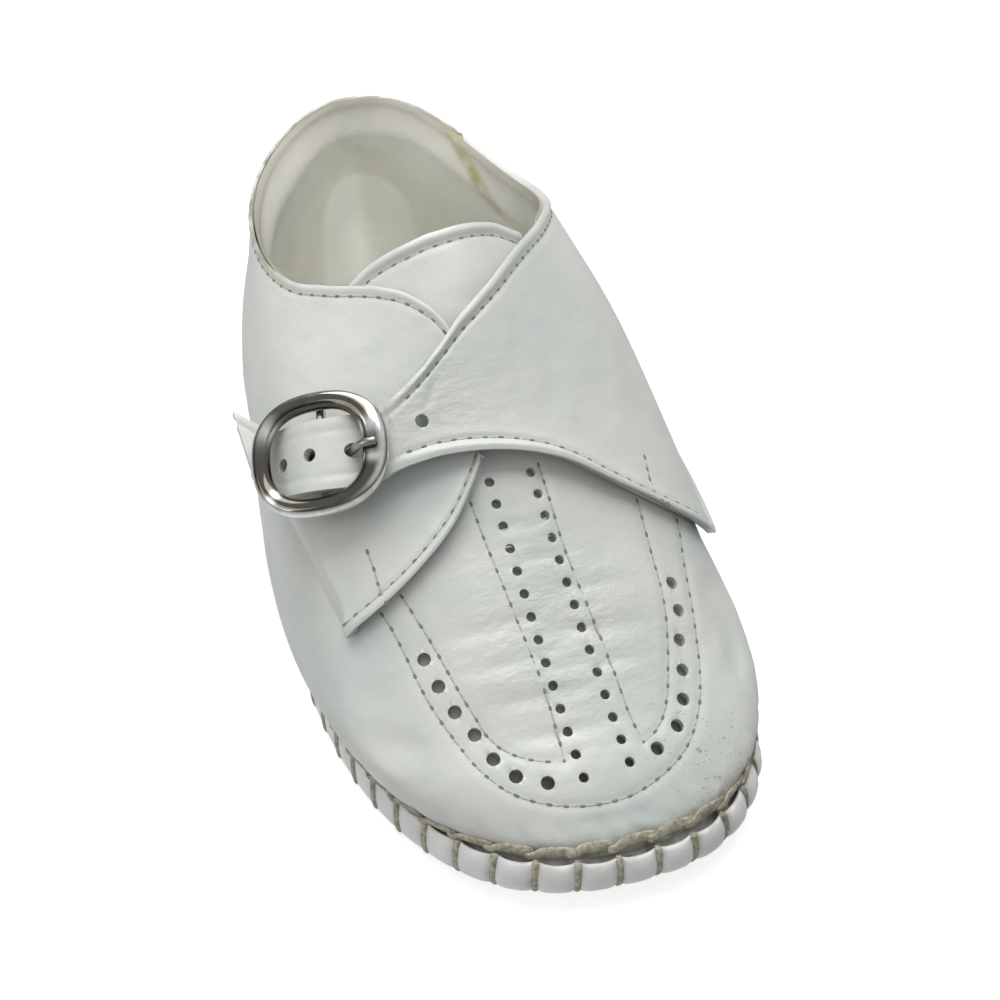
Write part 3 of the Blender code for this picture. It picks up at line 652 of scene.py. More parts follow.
LARGE_HOLES = np.array([
    (-17.7, -33.7), (-17.0, -37.2), (-16.0, -40.6), (-14.5, -43.8), (-13.2, -47.1), (-11.2, -49.8),
    (-7.7, -51.7), (17.7, -32.0), (17.2, -35.5), (15.8, -39.2), (14.6, -42.9), (13.1, -46.4), (10.9, -49.4),
    (7.2, -51.5),
])
SMALL_HOLES = np.concatenate([
    np.column_stack([np.linspace(-3.2, -2.7, 14), np.linspace(-52.4, -17.2, 14)]),
    np.column_stack([np.full(14, 3.1), np.linspace(-52.2, -17.2, 14)]),
])
HOLE_ROWS = ((LARGE_HOLES, 0.9), (SMALL_HOLES, 0.66))
HOLE_SINK = 0.14
HOLE_REACH = 2.0
TOE_PUFF = 0.9
TOE_PUFF_HEIGHT = 5.6
TOE_PUFF_ANGLE = 64
PUCKER = 0.18
SEAM_SINK = 0.16
# Creases in the vamp: their two ends over the plan of the shoe, depth and half width.
VAMP_CREASES = np.array([
    (-11.5, -46.0, 2.5, -47.2, 0.16, 0.7),
    (-13.0, -41.5, 4.0, -42.6, 0.20, 0.8),
    (-4.5, -39.6, 12.5, -40.4, 0.16, 0.7),
    (-14.5, -37.2, 1.0, -37.6, 0.18, 0.7),
    (-3.5, -35.2, 13.5, -36.8, 0.20, 0.8),
    (-15.5, -32.6, -1.0, -33.4, 0.18, 0.8),
    (-2.5, -30.6, 14.5, -31.6, 0.16, 0.7),
    (-4.0, -26.8, 4.0, -27.2, 0.14, 0.6),
    (-3.5, -22.6, 3.5, -23.2, 0.14, 0.6),
    (-25.5, -38.0, -20.5, -43.5, 0.24, 1.1),
    (-27.0, -31.0, -23.0, -36.0, 0.22, 1.2),
    (21.5, -44.0, 24.5, -37.0, 0.24, 1.1),
    (22.5, -34.0, 25.5, -28.0, 0.22, 1.2),
    (-9.0, -56.5, 6.0, -58.0, 0.10, 0.9),
])


def from_line(plan, line):
    """Distance in the plan from points to a line of points, and how far along it they lie, 0 to 1."""
    nearest = np.full(plan.shape[:-1], 1e9)
    along = np.zeros(plan.shape[:-1])
    for k in range(len(line) - 1):
        step = line[k + 1] - line[k]
        t = np.clip(((plan - line[k]) @ step) / (step @ step), 0, 1)
        distance = np.linalg.norm(plan - line[k] - t[..., None] * step, axis=-1)
        along = np.where(distance < nearest, (k + t) / (len(line) - 1), along)
        nearest = np.minimum(nearest, distance)
    return nearest, along


def creased(plan, creases):
    """Soft troughs with a low ridge on both sides, fading out at their ends."""
    relief = np.zeros(plan.shape[:-1])
    for x0, y0, x1, y1, depth, width in creases:
        middle = np.array(((x0 + x1) / 2 + (y1 - y0) * 0.06, (y0 + y1) / 2 - (x1 - x0) * 0.03))
        distance, along = from_line(plan, np.array([(x0, y0), middle, (x1, y1)]))
        fade = np.sin(np.pi * along) ** 0.8
        ridge = bell(distance, 1.9 * width, width)
        relief += depth * fade * (0.45 * ridge - bell(distance, 0, width))
    return relief


def smooth_line(line, step):
    """A line of points made smooth, with points at an even step along it."""
    length = run_along(line)
    count = max(int(round(length[-1] / step)), 2)
    dense = through(np.linspace(0, length[-1], 400), np.column_stack([length, line]))
    walked = run_along(dense)
    at = np.linspace(0, walked[-1], count + 1)
    return np.column_stack([np.interp(at, walked, dense[:, k]) for k in range(dense.shape[1])])


def from_edge(points, axis, end):
    """Distance along a sheet's rows or columns from its first (0) or last (-1) edge."""
    steps = np.linalg.norm(np.diff(points, axis=axis), axis=2)
    start = np.zeros_like(np.take(steps, [0], axis=axis))
    run = np.concatenate([start, np.cumsum(steps, axis=axis)], axis=axis)
    return run if end == 0 else np.take(run, [-1], axis=axis) - run


def skived(distance):
    """Share of the upper's thickness at a distance below its top edge, where it is pared thin."""
    return 0.15 + 0.85 * eased(ramp(distance, 0, SKIVE_DEPTH))


def before_throat(points):
    """One on the vamp, falling to zero behind it."""
    return 1 / (1 + np.exp((points[..., 1] + 12) / 2))


def pare(sheet, place, shares):
    """Keep the share of the wall that is left at each of a sheet's points, in a group named pared."""
    group = sheet.vertex_groups.new(name="pared")
    for index, weight in enumerate(shares[place]):
        group.add([index], weight, "REPLACE")


upper_turn = np.linspace(-1, 1, UPPER_COLUMNS + 1)
upper_angles = 180 * np.sign(upper_turn) * np.abs(upper_turn) ** UPPER_CROWDING
upper_top = level_at(upper_angles, through(upper_angles, TOPLINE)[:, 0])
upper_levels = np.linspace(0, 1, UPPER_ROWS)[:, None] * upper_top
bare_upper = last_point(upper_angles, upper_levels)
upper_normals = last_normal(upper_angles, upper_levels)
upper_plan = bare_upper[..., :2]
on_vamp = before_throat(bare_upper)
below_rim = from_edge(bare_upper, 0, -1)
above_feather = bare_upper[..., 2] - last_point(upper_angles, 0)[:, 2]
phase = pillow_phase(upper_angles)
relief = 0.1 * np.sin(bare_upper[..., 0] * 0.31 + 1.2) * np.sin(bare_upper[..., 1] * 0.23)
relief += 0.07 * np.sin(bare_upper[..., 0] * 0.13 + bare_upper[..., 1] * 0.57)
relief *= ramp(bare_upper[..., 2], 12, 6) * ramp(below_rim, 2, 7)
at_toe = np.clip(np.cos(np.radians(upper_angles * 1.4)), 0, 1) * (np.abs(upper_angles) < TOE_PUFF_ANGLE)
relief += TOE_PUFF * bell(above_feather, TOE_PUFF_HEIGHT, 3.0) * at_toe
relief += PUCKER * bell(above_feather, 2.3, 1.0) * (0.5 + 0.5 * swollen(phase))
relief -= 0.16 * bell(above_feather, 3.2, 0.8) * pulled(phase)
relief -= 0.08 * bell(above_feather, 4.6, 1.2)
seam_lines = (APRON_OUTER, APRON_LATERAL, APRON_MEDIAL, STRIP_LATERAL, STRIP_MEDIAL)
for line in seam_lines:
    distance, along = from_line(upper_plan, smooth_line(line, 1.0))
    relief -= SEAM_SINK * bell(distance, 0, 0.55) * on_vamp
relief += creased(upper_plan, VAMP_CREASES) * on_vamp
for holes, radius in HOLE_ROWS:
    for hole in holes:
        distance = np.linalg.norm(upper_plan - hole, axis=-1)
        relief -= HOLE_SINK * bell(distance, 0, 1.5 * radius) * on_vamp
relief += SKIVE_LIFT * (1 - skived(below_rim))
upper_points = bare_upper + upper_normals * relief[..., None]
upper, upper_place = sheet_mesh("drawn_upper", upper_points)
toe_soil = bell(bare_upper[..., 0], 17, 12) * (bare_upper[..., 1] < -20)
upper_soil = np.exp(-(above_feather / 2.5) ** 4) * (0.8 + 0.3 * toe_soil)
upper_soil += 0.4 * bell(above_feather, 0, 3.8) * toe_soil
from_scuff = np.linalg.norm(upper_plan - np.array((13.5, -53.0)), axis=-1)
mark(upper, upper_place, "soil", np.clip(upper_soil, 0, 1))
mark(upper, upper_place, "scuff", bell(from_scuff, 0, 7))
mark(upper, upper_place, "crinkle", bell(bare_upper[..., 0], 0, 15) * bell(bare_upper[..., 1], -36, 13))
pare(upper, upper_place, skived(below_rim))
close_seams(upper)


def give_wall(piece, wall, edge, thinned=None):
    """Thickness on the inner side of a sheet, with rounded cut edges, and thinner where a group says so."""
    solid = piece.modifiers.new("wall", "SOLIDIFY")
    solid.thickness = wall * 0.001
    solid.offset = -1
    solid.use_quality_normals = True
    if thinned:
        solid.vertex_group = thinned
    rounded = piece.modifiers.new("rounded edge", "BEVEL")
    rounded.width = edge * 0.001
    rounded.segments = 3
    rounded.limit_method = "ANGLE"
    rounded.angle_limit = np.radians(62)
    bpy.ops.object.select_all(action="DESELECT")
    bpy.context.view_layer.objects.active = piece
    piece.select_set(True)
    for modifier in list(piece.modifiers):
        bpy.ops.object.modifier_apply(modifier=modifier.name)


def beads(name, places):
    """Small flattened balls in one mesh. Each place is a middle and three half axes, in millimetres."""
    bpy.ops.object.select_all(action="DESELECT")
    bpy.ops.mesh.primitive_uv_sphere_add(segments=8, ring_count=6, radius=1.0)
    ball = bpy.context.object
    shape = np.array([vertex.co for vertex in ball.data.vertices])
    polygons = [tuple(polygon.vertices) for polygon in ball.data.polygons]
    bpy.data.objects.remove(ball)
    points = []
    faces = []
    for k, (middle, first, second, third) in enumerate(places):
        points.append(middle + shape @ np.array((first, second, third)))
        faces += [tuple(np.add(polygon, k * len(shape))) for polygon in polygons]
    return joined_mesh(name, np.concatenate(points), faces)


def pierce(sheet, places):
    """Holes in a sheet before it gets its wall. Each place is a middle, two half axes and the depth."""
    form = bmesh.new()
    form.from_mesh(sheet.data)

    def across_holes():
        form.verts.ensure_lookup_table()
        spots = np.array([vertex.co for vertex in form.verts]) * 1000 + CENTRE
        for middle, first, second, third in places:
            axes = (first, second, third)
            share = np.stack([(spots - middle) @ axis / (axis @ axis) for axis in axes], axis=-1)
            yield (middle, first, second, third), share, np.linalg.norm(share[:, :2], axis=1)

    around = set()
    for hole, share, away in across_holes():
        for k in np.flatnonzero((away < 1.9) & (np.abs(share[:, 2]) < 1)):
            around |= {edge for face in form.verts[k].link_faces for edge in face.edges}
    bmesh.ops.subdivide_edges(form, edges=list(around), cuts=1, use_grid_fill=True)
    doomed = set()
    rims = []
    for hole, share, away in across_holes():
        inside = {form.verts[k] for k in np.flatnonzero((away < 1) & (np.abs(share[:, 2]) < 1))}
        gone = {face for vertex in inside for face in vertex.link_faces}
        doomed |= gone
        for vertex in {vertex for face in gone for vertex in face.verts} - inside:
            first, second, third = share[vertex.index] / np.array((away[vertex.index], away[vertex.index], 1))
            rims.append((vertex, hole[0] + hole[1] * first + hole[2] * second + hole[3] * third))
    for vertex, spot in rims:
        vertex.co = part_frame(spot)
    bmesh.ops.delete(form, geom=list(doomed), context="FACES")
    form.to_mesh(sheet.data)
    form.free()


def axes_for(normal, along):
    """Unit directions along a line, across it and out of the surface."""
    normal = unit(normal)
    along = unit(along - normal * (along @ normal))
    return along, np.cross(normal, along), normal


def on_vamp_at(plan):
    """The vamp's points and outward directions under points of the plan."""
    flat_plan = upper_plan.reshape(-1, 2)
    usable = (upper_normals[..., 2].ravel() > 0.05) & (bare_upper[..., 1].ravel() < 5)
    found = []
    for spot in plan:
        nearest = np.argmin(np.linalg.norm(flat_plan - spot, axis=1) + 1e6 * ~usable)
        point = upper_points.reshape(-1, 3)[nearest].copy()
        normal = upper_normals.reshape(-1, 3)[nearest]
        step = spot - flat_plan[nearest]
        point[:2] += step
        point[2] -= (normal[0] * step[0] + normal[1] * step[1]) / max(normal[2], 0.3)
        found.append((point, normal))
    return np.array([point for point, normal in found]), np.array([normal for point, normal in found])


pierced = []
for holes, radius in HOLE_ROWS:
    for point, normal in zip(*on_vamp_at(holes)):
        first, second, third = axes_for(normal, np.array((0.0, 1.0, 0.0)))
        pierced.append((point, first * radius, second * radius, third * HOLE_REACH))
pierce(upper, pierced)
give_wall(upper, UPPER_WALL, 0.12, "pared")
WHITE_PALE = (0.585, 0.58, 0.54)
WHITE_DEEP = (0.495, 0.53, 0.49)
WHITE_SOIL = (0.20, 0.175, 0.115)
WHITE_SCUFF = (0.13, 0.12, 0.10)
white_leather, shader = new_finish("white leather", WHITE_PALE, 0.36)
tone = tinted(white_leather, WHITE_PALE, clouded(white_leather, 55.0, 3.0, 0.38, 0.68), WHITE_DEEP)
tone = stained(white_leather, tone, "soil", clouded(white_leather, 380.0, 4.0, 0.33, 0.68), WHITE_SOIL)
specks = clouded(white_leather, 2300.0, 1.0, 0.66, 0.72, 0.0, 0.75)
tone = stained(white_leather, tone, "scuff", specks, WHITE_SCUFF)
connect(white_leather, tone, shader.inputs["Base Color"])
connect(white_leather, clouded(white_leather, 140.0, 3.0, 0.3, 0.7, 0.3, 0.46), shader.inputs["Roughness"])
shader.inputs["Coat Weight"].default_value = 0.12
shader.inputs["Coat Roughness"].default_value = 0.22
fine = raised(white_leather, noise(white_leather, 1700.0, 2.0), 0.06, 0.0002)
broad = raised(white_leather, noise(white_leather, 210.0, 4.0, 0.5), 0.2, 0.0012, fine)
lines = noise(white_leather, 520.0, 4.0, 0.62, (0.6, 1.3, 1.0))
lines = times(white_leather, lines, marked(white_leather, "crinkle"))
connect(white_leather, raised(white_leather, lines, 0.3, 0.0009, broad), shader.inputs["Normal"])
upper.data.materials.append(white_leather)
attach(upper, "root")
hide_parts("upper")


# Vamp stitching: pale thread in five ornamental seams, sunk into the leather, with a dark needle pit at each
# stitch, a flat bead coloured as painted shade and dust. The same form of stitch is used on the quarters,
# strap and tongue.
STITCH_PITCH = 2.1
STITCH_COLOUR = (0.46, 0.47, 0.43)
STITCH_SHADE = (0.33, 0.34, 0.30)
STITCH_SHORT = 0.25
STITCH_HALF_WIDTH = 0.15
STITCH_HALF_DEPTH = 0.12
PIT_SHADE = (0.15, 0.155, 0.135)
PIT_DUSTY = (0.23, 0.23, 0.20)
PIT_HALF_SIZES = (0.44, 0.22, 0.07)
SEAM_NAMES = ("apron_outer", "apron_lateral", "apron_medial", "strip_lateral", "strip_medial")


def seam(name, points, normals):
    """One seam: threads lying between dark needle pits, along points with their outward directions."""
    ahead = np.gradient(points, axis=0)
    pits = []
    threads = []
    for k, (point, normal) in enumerate(zip(points, normals)):
        axes = axes_for(normal, ahead[k])
        halves = [axis * size for axis, size in zip(axes, PIT_HALF_SIZES)]
        pits.append((point + axes[2] * 0.02, *halves))
        if k + 1 < len(points):
            between = (point + points[k + 1]) / 2
            half = np.linalg.norm(points[k + 1] - point) / 2
            first, second, third = axes_for(normal + normals[k + 1], points[k + 1] - point)
            threads.append((between - third * 0.03, first * (half - STITCH_SHORT),
                            second * STITCH_HALF_WIDTH, third * STITCH_HALF_DEPTH))
    for kind, places, finish in (("pits", pits, pit_finish), ("threads", threads, sewing_finish)):
        made = beads(name + "_" + kind, places)
        made.data.materials.append(finish)
        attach(made, "root")


sewing_finish, shader = new_finish("sewing thread", STITCH_COLOUR, 0.75)
twist = clouded(sewing_finish, 2600.0, 2.0, 0.35, 0.65)
tone = tinted(sewing_finish, STITCH_COLOUR, twist, STITCH_SHADE)
connect(sewing_finish, tone, shader.inputs["Base Color"])
# Needle pits: dark beads of painted shade, with a dusty tone clouded over them.
pit_finish, shader = new_finish("needle pit", PIT_SHADE, 0.9)
tone = tinted(pit_finish, PIT_SHADE, clouded(pit_finish, 900.0, 2.0, 0.3, 0.7), PIT_DUSTY)
connect(pit_finish, tone, shader.inputs["Base Color"])
for name, line in zip(SEAM_NAMES, seam_lines):
    seam("vamp_" + name, *on_vamp_at(smooth_line(line, STITCH_PITCH)))


# Foot needle holes: slits that the needle left open in the foot of the upper, just above the whip stitches at
# the outer side of the toe. They are dark with the shade and the dust inside them.
open_angles = stitch_angles[(stitch_angles > 300) & (stitch_angles < 346)] - 1.2
foot_level = level_at(open_angles, last_point(open_angles, 0)[:, 2] + 2.75)
foot_points = lifted(open_angles, foot_level, 0.02)
foot_normals = last_normal(open_angles, foot_level)
foot_pits = []
for point, normal in zip(foot_points, foot_normals):
    first, second, third = axes_for(normal, np.array((0.3, 0.2, 1.0)))
    foot_pits.append((point, first * 0.42, second * 0.26, third * 0.1))
foot_holes = beads("foot_needle_holes", foot_pits)
foot_holes.data.materials.append(pit_finish)
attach(foot_holes, "root")


# Lining: thin soft leather glued inside the upper, a little loose and wrinkled round the heel, with a paler
# patch pasted on at the heel and a yellowed streak of glue below the back seam. Painted shade darkens it
# below its rim, and under the vamp, where it shows only down the holes.
LINING_WALL = 0.3
LINING_COLUMNS = 300
LINING_ROWS = 72
LINING_FOOT = 0.25
LINING_CREASES = np.array([
    (-172, 38, -140, 34, 0.16, 1.6),
    (-150, 20, -118, 24, 0.16, 1.6),
    (150, 37, 186, 38, 0.14, 1.6),
    (-110, 33, -92, 20, 0.18, 1.8),
    (118, 31, 132, 16, 0.20, 1.6),
    (100, 28, 112, 18, 0.18, 1.5),
])
# Height of the quarters' collar edge round the ankle, by angle.
COLLAR = np.array([
    (-180, 44.4), (-151, 44.4), (-124, 44.2), (-98, 43.7), (-80, 43.6), (-64, 44.4), (-52, 45.8), (0, 47.5),
    (47, 47.3), (63, 45.8), (79, 43.8), (96, 41.6), (114, 40.5), (127.5, 41.9), (131, 42.7), (150, 44.3),
    (180, 44.4),
])
RIM_ROLL = 0.62
PATCH_ANGLE = 177.5
PATCH_HALF_ANGLE = 27.7
PATCH_SHOULDER = 24.0
PATCH_CROWN = 8.6
PATCH_THICK = 0.3
PATCH_SQUARE = 3.2
PATCH_FALL = 0.13
VAMP_LINING_ANGLE = 62
VAMP_LINING_HEIGHT = 28.5
LINING_SAG = 0.35
GLUE_ANGLE = 130.5
GLUE_TOP = 42
GLUE_SLANT = 1.7
GLUE_HALF = 2.8
GLUE_FOOT = 33
PER_DEGREE = 0.36
lining_angles = np.linspace(-180, 180, LINING_COLUMNS + 1)
upper_rim = through(lining_angles, TOPLINE)[:, 0]
lining_height = through(lining_angles, COLLAR)[:, 0] - 0.1
lining_height = np.where(np.abs(lining_angles) < VAMP_LINING_ANGLE, VAMP_LINING_HEIGHT, lining_height)
lining_share = 1 - (1 - np.linspace(0, 1, LINING_ROWS)) ** 1.6
lining_levels = LINING_FOOT + lining_share[:, None] * (level_at(lining_angles, lining_height) - LINING_FOOT)
lining_bare = last_point(lining_angles, lining_levels)
under_rim = lining_height - lining_bare[..., 2]
unrolled_run = np.broadcast_to(lining_angles, under_rim.shape) * PER_DEGREE
unrolled = np.stack([unrolled_run, lining_bare[..., 2]], axis=-1)
rucks = LINING_CREASES * np.array((PER_DEGREE, 1, PER_DEGREE, 1, 1, 1))
one_turn = np.array((360 * PER_DEGREE, 0))
lining_relief = creased(unrolled, rucks) + creased(unrolled + one_turn, rucks)
lining_relief += creased(unrolled - one_turn, rucks)
lining_relief += 0.1 * np.sin(np.radians(lining_angles) * 7) * np.sin(unrolled[..., 1] * 0.28 + 0.8)
at_back = ramp(np.abs(lining_angles), 70, 20) * ramp(under_rim, 0, 5)
below_top = np.maximum(upper_rim - lining_bare[..., 2], 0)
lining_lift = SKIVE_LIFT - (UPPER_WALL + SKIVE_LIFT) * skived(below_top) - 0.1
lining_lift = lining_lift - (LINING_SAG - lining_relief) * at_back
from_heel = (lining_angles - PATCH_ANGLE + 180) % 360 - 180
patch = np.abs(from_heel / PATCH_HALF_ANGLE) ** PATCH_SQUARE
patch = patch + (np.clip(lining_bare[..., 2] - PATCH_SHOULDER, 0, None) / PATCH_CROWN) ** PATCH_SQUARE
patch = eased(ramp(patch ** (1 / PATCH_SQUARE), 1, -PATCH_FALL))
lining_lift = lining_lift - PATCH_THICK * patch
rolled = np.clip((lining_bare[..., 2] - upper_rim + 0.2) / (lining_height - upper_rim + 0.2), 0, 1)
lining_lift = lining_lift + RIM_ROLL * rolled ** 2 * (np.abs(lining_angles) > VAMP_LINING_ANGLE)
lining_points = lifted(lining_angles, lining_levels, lining_lift)
lining, lining_place = sheet_mesh("lining", lining_points)
streak = lining_angles - GLUE_ANGLE + (GLUE_TOP - lining_bare[..., 2]) * GLUE_SLANT
streak = np.exp(-(streak / GLUE_HALF) ** 4) * ramp(lining_bare[..., 2], GLUE_FOOT, 3)
mark(lining, lining_place, "glue", streak)
mark(lining, lining_place, "patch", patch)
# Painted shade: a thin dark line along the rim and a soft darkening some millimetres below it.
mark(lining, lining_place, "edge", 0.5 * bell(under_rim, 0, 0.6) + 0.45 * bell(under_rim, 0, 6.0))
# Painted shade: the lining under the vamp, seen only down the holes, is made dark.
mark(lining, lining_place, "vamp", before_throat(lining_bare))
close_seams(lining)
give_wall(lining, LINING_WALL, 0.1)
LINING_COLOUR = (0.74, 0.735, 0.66)
LINING_WORN = (0.65, 0.645, 0.565)
PATCH_COLOUR = (0.86, 0.86, 0.79)
RIM_SHADE = (0.29, 0.275, 0.22)
GLUE_COLOUR = (0.38, 0.34, 0.17)
VAMP_LINING_SHADE = (0.27, 0.27, 0.24)
lining_finish, shader = new_finish("lining leather", LINING_COLOUR, 0.58)
tone = tinted(lining_finish, LINING_COLOUR, clouded(lining_finish, 75.0, 5.0, 0.42, 0.72), LINING_WORN)
tone = stained(lining_finish, tone, "patch", 0.7, PATCH_COLOUR)
# Painted shade below the rim.
tone = tinted(lining_finish, tone, marked(lining_finish, "edge"), RIM_SHADE)
tone = stained(lining_finish, tone, "glue", clouded(lining_finish, 330.0, 4.0, 0.3, 0.6), GLUE_COLOUR)
# Painted shade on the lining under the vamp.
tone = tinted(lining_finish, tone, marked(lining_finish, "vamp"), VAMP_LINING_SHADE)
connect(lining_finish, tone, shader.inputs["Base Color"])
lining_grain = ((1500.0, 3.0, 0.12, 0.0003), (170.0, 4.0, 0.2, 0.0012))
connect(lining_finish, grained(lining_finish, lining_grain), shader.inputs["Normal"])
lining.data.materials.append(lining_finish)
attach(lining, "root")


# Tongue: a flap of the same white leather inside the throat, sewn along its rounded top edge. It is fixed
# under the vamp and stands a little above the collar.
TONGUE = np.array([
    (-16.0, 30.0, -48.0, 46.4),
    (-12.0, 30.0, -36.0, 49.8),
    (-7.0, 30.0, -20.0, 52.2),
    (0.0, 30.0, 0.0, 53.4),
    (7.0, 30.0, 22.0, 52.8),
    (12.0, 30.0, 42.0, 50.4),
    (16.0, 30.0, 57.0, 46.6),
])
TONGUE_WALL = 1.0
TONGUE_COLUMNS = 150
TONGUE_ROWS = 64


def ribs(table, columns):
    """Smooth in-between ribs of a sheet's table."""
    numbered = np.column_stack([np.arange(len(table)), table])
    return through(np.linspace(0, len(table) - 1, columns), numbered)


def edge_rows_of(rows):
    """Shares across a sheet, closer together at its two edges."""
    share = np.linspace(0, 1, rows)
    return 0.45 * share + 0.55 * (1 - np.cos(np.pi * share)) / 2


def rib_places(table, rows):
    """Angles and heights over a sheet, a row for each share across it."""
    share = edge_rows_of(rows)[:, None]
    low_angle, low_height, high_angle, high_height = table[:, :4].T
    return low_angle + (high_angle - low_angle) * share, low_height + (high_height - low_height) * share


def folded_edge(distance, inset):
    """Relief of a folded and sewn edge: a round bead with the seam's groove behind it."""
    bead = 0.28 * bell(distance / inset, 0.44, 0.33) + 0.2 * bell(distance, 0, 1.3)
    return bead - 0.24 * bell(distance, inset, 0.42)


def sheet_normals(points):
    """Directions out of a sheet of points, rows upward and columns to the wearer's left."""
    normal = np.cross(np.gradient(points, axis=1), np.gradient(points, axis=0))
    return normal / np.maximum(np.linalg.norm(normal, axis=2, keepdims=True), 1e-9)


def seam_along(points, normals, distance, inset):
    """Places at an even pitch along the line that lies at a distance from an edge of a sheet."""
    track = []
    facing = []
    for k in range(points.shape[1]):
        order = np.argsort(distance[:, k])
        run = distance[order, k]
        track.append([np.interp(inset, run, points[order, k, axis]) for axis in range(3)])
        facing.append([np.interp(inset, run, normals[order, k, axis]) for axis in range(3)])
    track, facing = np.array(track), np.array(facing)
    even = smooth_line(np.column_stack([track, facing]), STITCH_PITCH)
    return even[:, :3], even[:, 3:]


def seam_through(points, normals, line):
    """Places at an even pitch on a sheet, along a line of points near it."""
    flat = points.reshape(-1, 3)
    nearest = [np.argmin(np.linalg.norm(flat - spot, axis=1)) for spot in smooth_line(line, STITCH_PITCH)]
    return flat[nearest], normals.reshape(-1, 3)[nearest]


SEAM_INSET = 1.85
BACK_SEAM_INSET = 1.5
COLLAR_INSET = 1.4
tongue_angles, tongue_heights = rib_places(ribs(TONGUE, TONGUE_COLUMNS), TONGUE_ROWS)
tongue_bare = lifted(tongue_angles, level_at(tongue_angles, tongue_heights), -(UPPER_WALL + GAP))
tongue_normals = sheet_normals(tongue_bare)
from_top = from_edge(tongue_bare, 0, -1)
tongue_wave = 0.25 * np.sin(tongue_bare[..., 0] * 0.4) * np.exp(-(from_top - 6) ** 2 / 18)
tongue_relief = folded_edge(from_top, SEAM_INSET) + tongue_wave
tongue_points = tongue_bare + tongue_normals * tongue_relief[..., None]
tongue, _ = sheet_mesh("tongue_flap", tongue_points)
close_seams(tongue)
give_wall(tongue, TONGUE_WALL, 0.35)
tongue.data.materials.append(white_leather)
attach(tongue, "root")
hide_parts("tongue")
seam("tongue_top", *seam_along(tongue_points, tongue_normals, from_top, SEAM_INSET))


# Outer quarter: one piece of white leather round the heel. Its front edge is folded and sewn on the vamp,
# its collar edge is folded and sewn, and its skived lower edge is pasted down flat.
LATERAL_FRONT = np.array([
    (-4.2, 34.2, -3.6, 37.0),
    (-7.5, 32.5, -3.4, 41.5),
    (-12.8, 30.3, -4.2, 44.8),
    (-20.8, 27.8, -9.5, 46.9),
    (-30.5, 24.9, -19.5, 48.0),
    (-44.0, 21.0, -31.0, 47.9),
])
LATERAL_BACK = np.array([
    (-44.0, 21.0, -31.0, 47.9),
    (-49.5, 23.4, -40.0, 47.1),
    (-57.0, 25.6, -52.0, 45.8),
    (-66.0, 26.4, -64.0, 44.4),
    (-80.0, 25.6, -80.0, 43.6),
    (-100.0, 24.0, -98.0, 43.7),
    (-125.0, 22.0, -124.0, 44.2),
    (-152.0, 20.6, -151.0, 44.4),
    (-180.0, 19.6, -180.0, 44.4),
    (-208.0, 18.8, -210.0, 44.3),
    (-233.0, 18.4, -231.0, 42.6),
])
LATERAL_WALL = 1.0
LATERAL_ROWS = 64
FRONT_COLUMNS = 110
BACK_COLUMNS = 220
SKIVE_LENGTH = 5.0
SKIVE_FALL = 1.25
FRONT_CURL = 0.4
COLLAR_PARED = 0.65
LATERAL_CREASES = np.array([
    (-30.5, -6.0, -31.5, 8.0, 0.18, 1.2),
    (-28.0, 14.0, -30.5, 26.0, 0.16, 1.4),
    (-25.0, -12.0, -29.5, -4.0, 0.20, 1.0),
])
# A short second seam on the front part, down to the vamp.
BAR_LINE = np.array([
    (-20.6, -20.3, 29.1), (-20.4, -22.8, 27.9), (-20.4, -25.2, 26.6), (-20.3, -26.6, 25.9),
])
front_ribs = ribs(LATERAL_FRONT, FRONT_COLUMNS)
back_ribs = ribs(LATERAL_BACK, BACK_COLUMNS)[1:]
quarter_ribs = np.concatenate([front_ribs, back_ribs])[::-1]
quarter_angles, quarter_heights = rib_places(quarter_ribs, LATERAL_ROWS)
quarter_levels = level_at(quarter_angles, quarter_heights)
quarter_bare = lifted(quarter_angles, quarter_levels, GAP + LATERAL_WALL)
quarter_normals = last_normal(quarter_angles, quarter_levels)
from_low = from_edge(quarter_bare, 0, 0)
from_collar = from_edge(quarter_bare, 0, -1)
is_front = np.concatenate([np.zeros(len(back_ribs)), np.ones(FRONT_COLUMNS)])
soft_front = np.convolve(np.pad(is_front, 6, mode="edge"), np.ones(13) / 13, mode="valid")
quarter_relief = 0.6 * folded_edge(from_collar, COLLAR_INSET) + folded_edge(from_low, SEAM_INSET) * soft_front
quarter_relief += FRONT_CURL * bell(from_low, 0, 3.0) * soft_front
quarter_relief -= (1 - soft_front) * SKIVE_FALL * np.clip(1 - from_low / SKIVE_LENGTH, 0, 1) ** 1.4
quarter_relief += creased(quarter_bare[..., :2], LATERAL_CREASES)
quarter_points = quarter_bare + quarter_normals * quarter_relief[..., None]
quarter, quarter_place = sheet_mesh("outer_quarter", quarter_points)
behind = ramp(-quarter_angles, 60, 15)
mark(quarter, quarter_place, "soil", bell(from_collar, 0, 0.75) * behind)
pare(quarter, quarter_place, 1 - behind * COLLAR_PARED * (1 - skived(from_collar)))
close_seams(quarter)
give_wall(quarter, LATERAL_WALL, 0.2, "pared")
quarter.data.materials.append(white_leather)
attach(quarter, "root")
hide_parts("quarter_lateral")
seam("outer_quarter_collar", *seam_along(quarter_points, quarter_normals, from_collar, COLLAR_INSET))
front_part = slice(len(back_ribs), len(back_ribs) + FRONT_COLUMNS - 6)
front_sheet = [field[:, front_part] for field in (quarter_points, quarter_normals, from_low)]
seam("outer_quarter_front", *seam_along(*front_sheet, SEAM_INSET))
seam("outer_quarter_bar", *seam_through(quarter_points, quarter_normals, BAR_LINE))


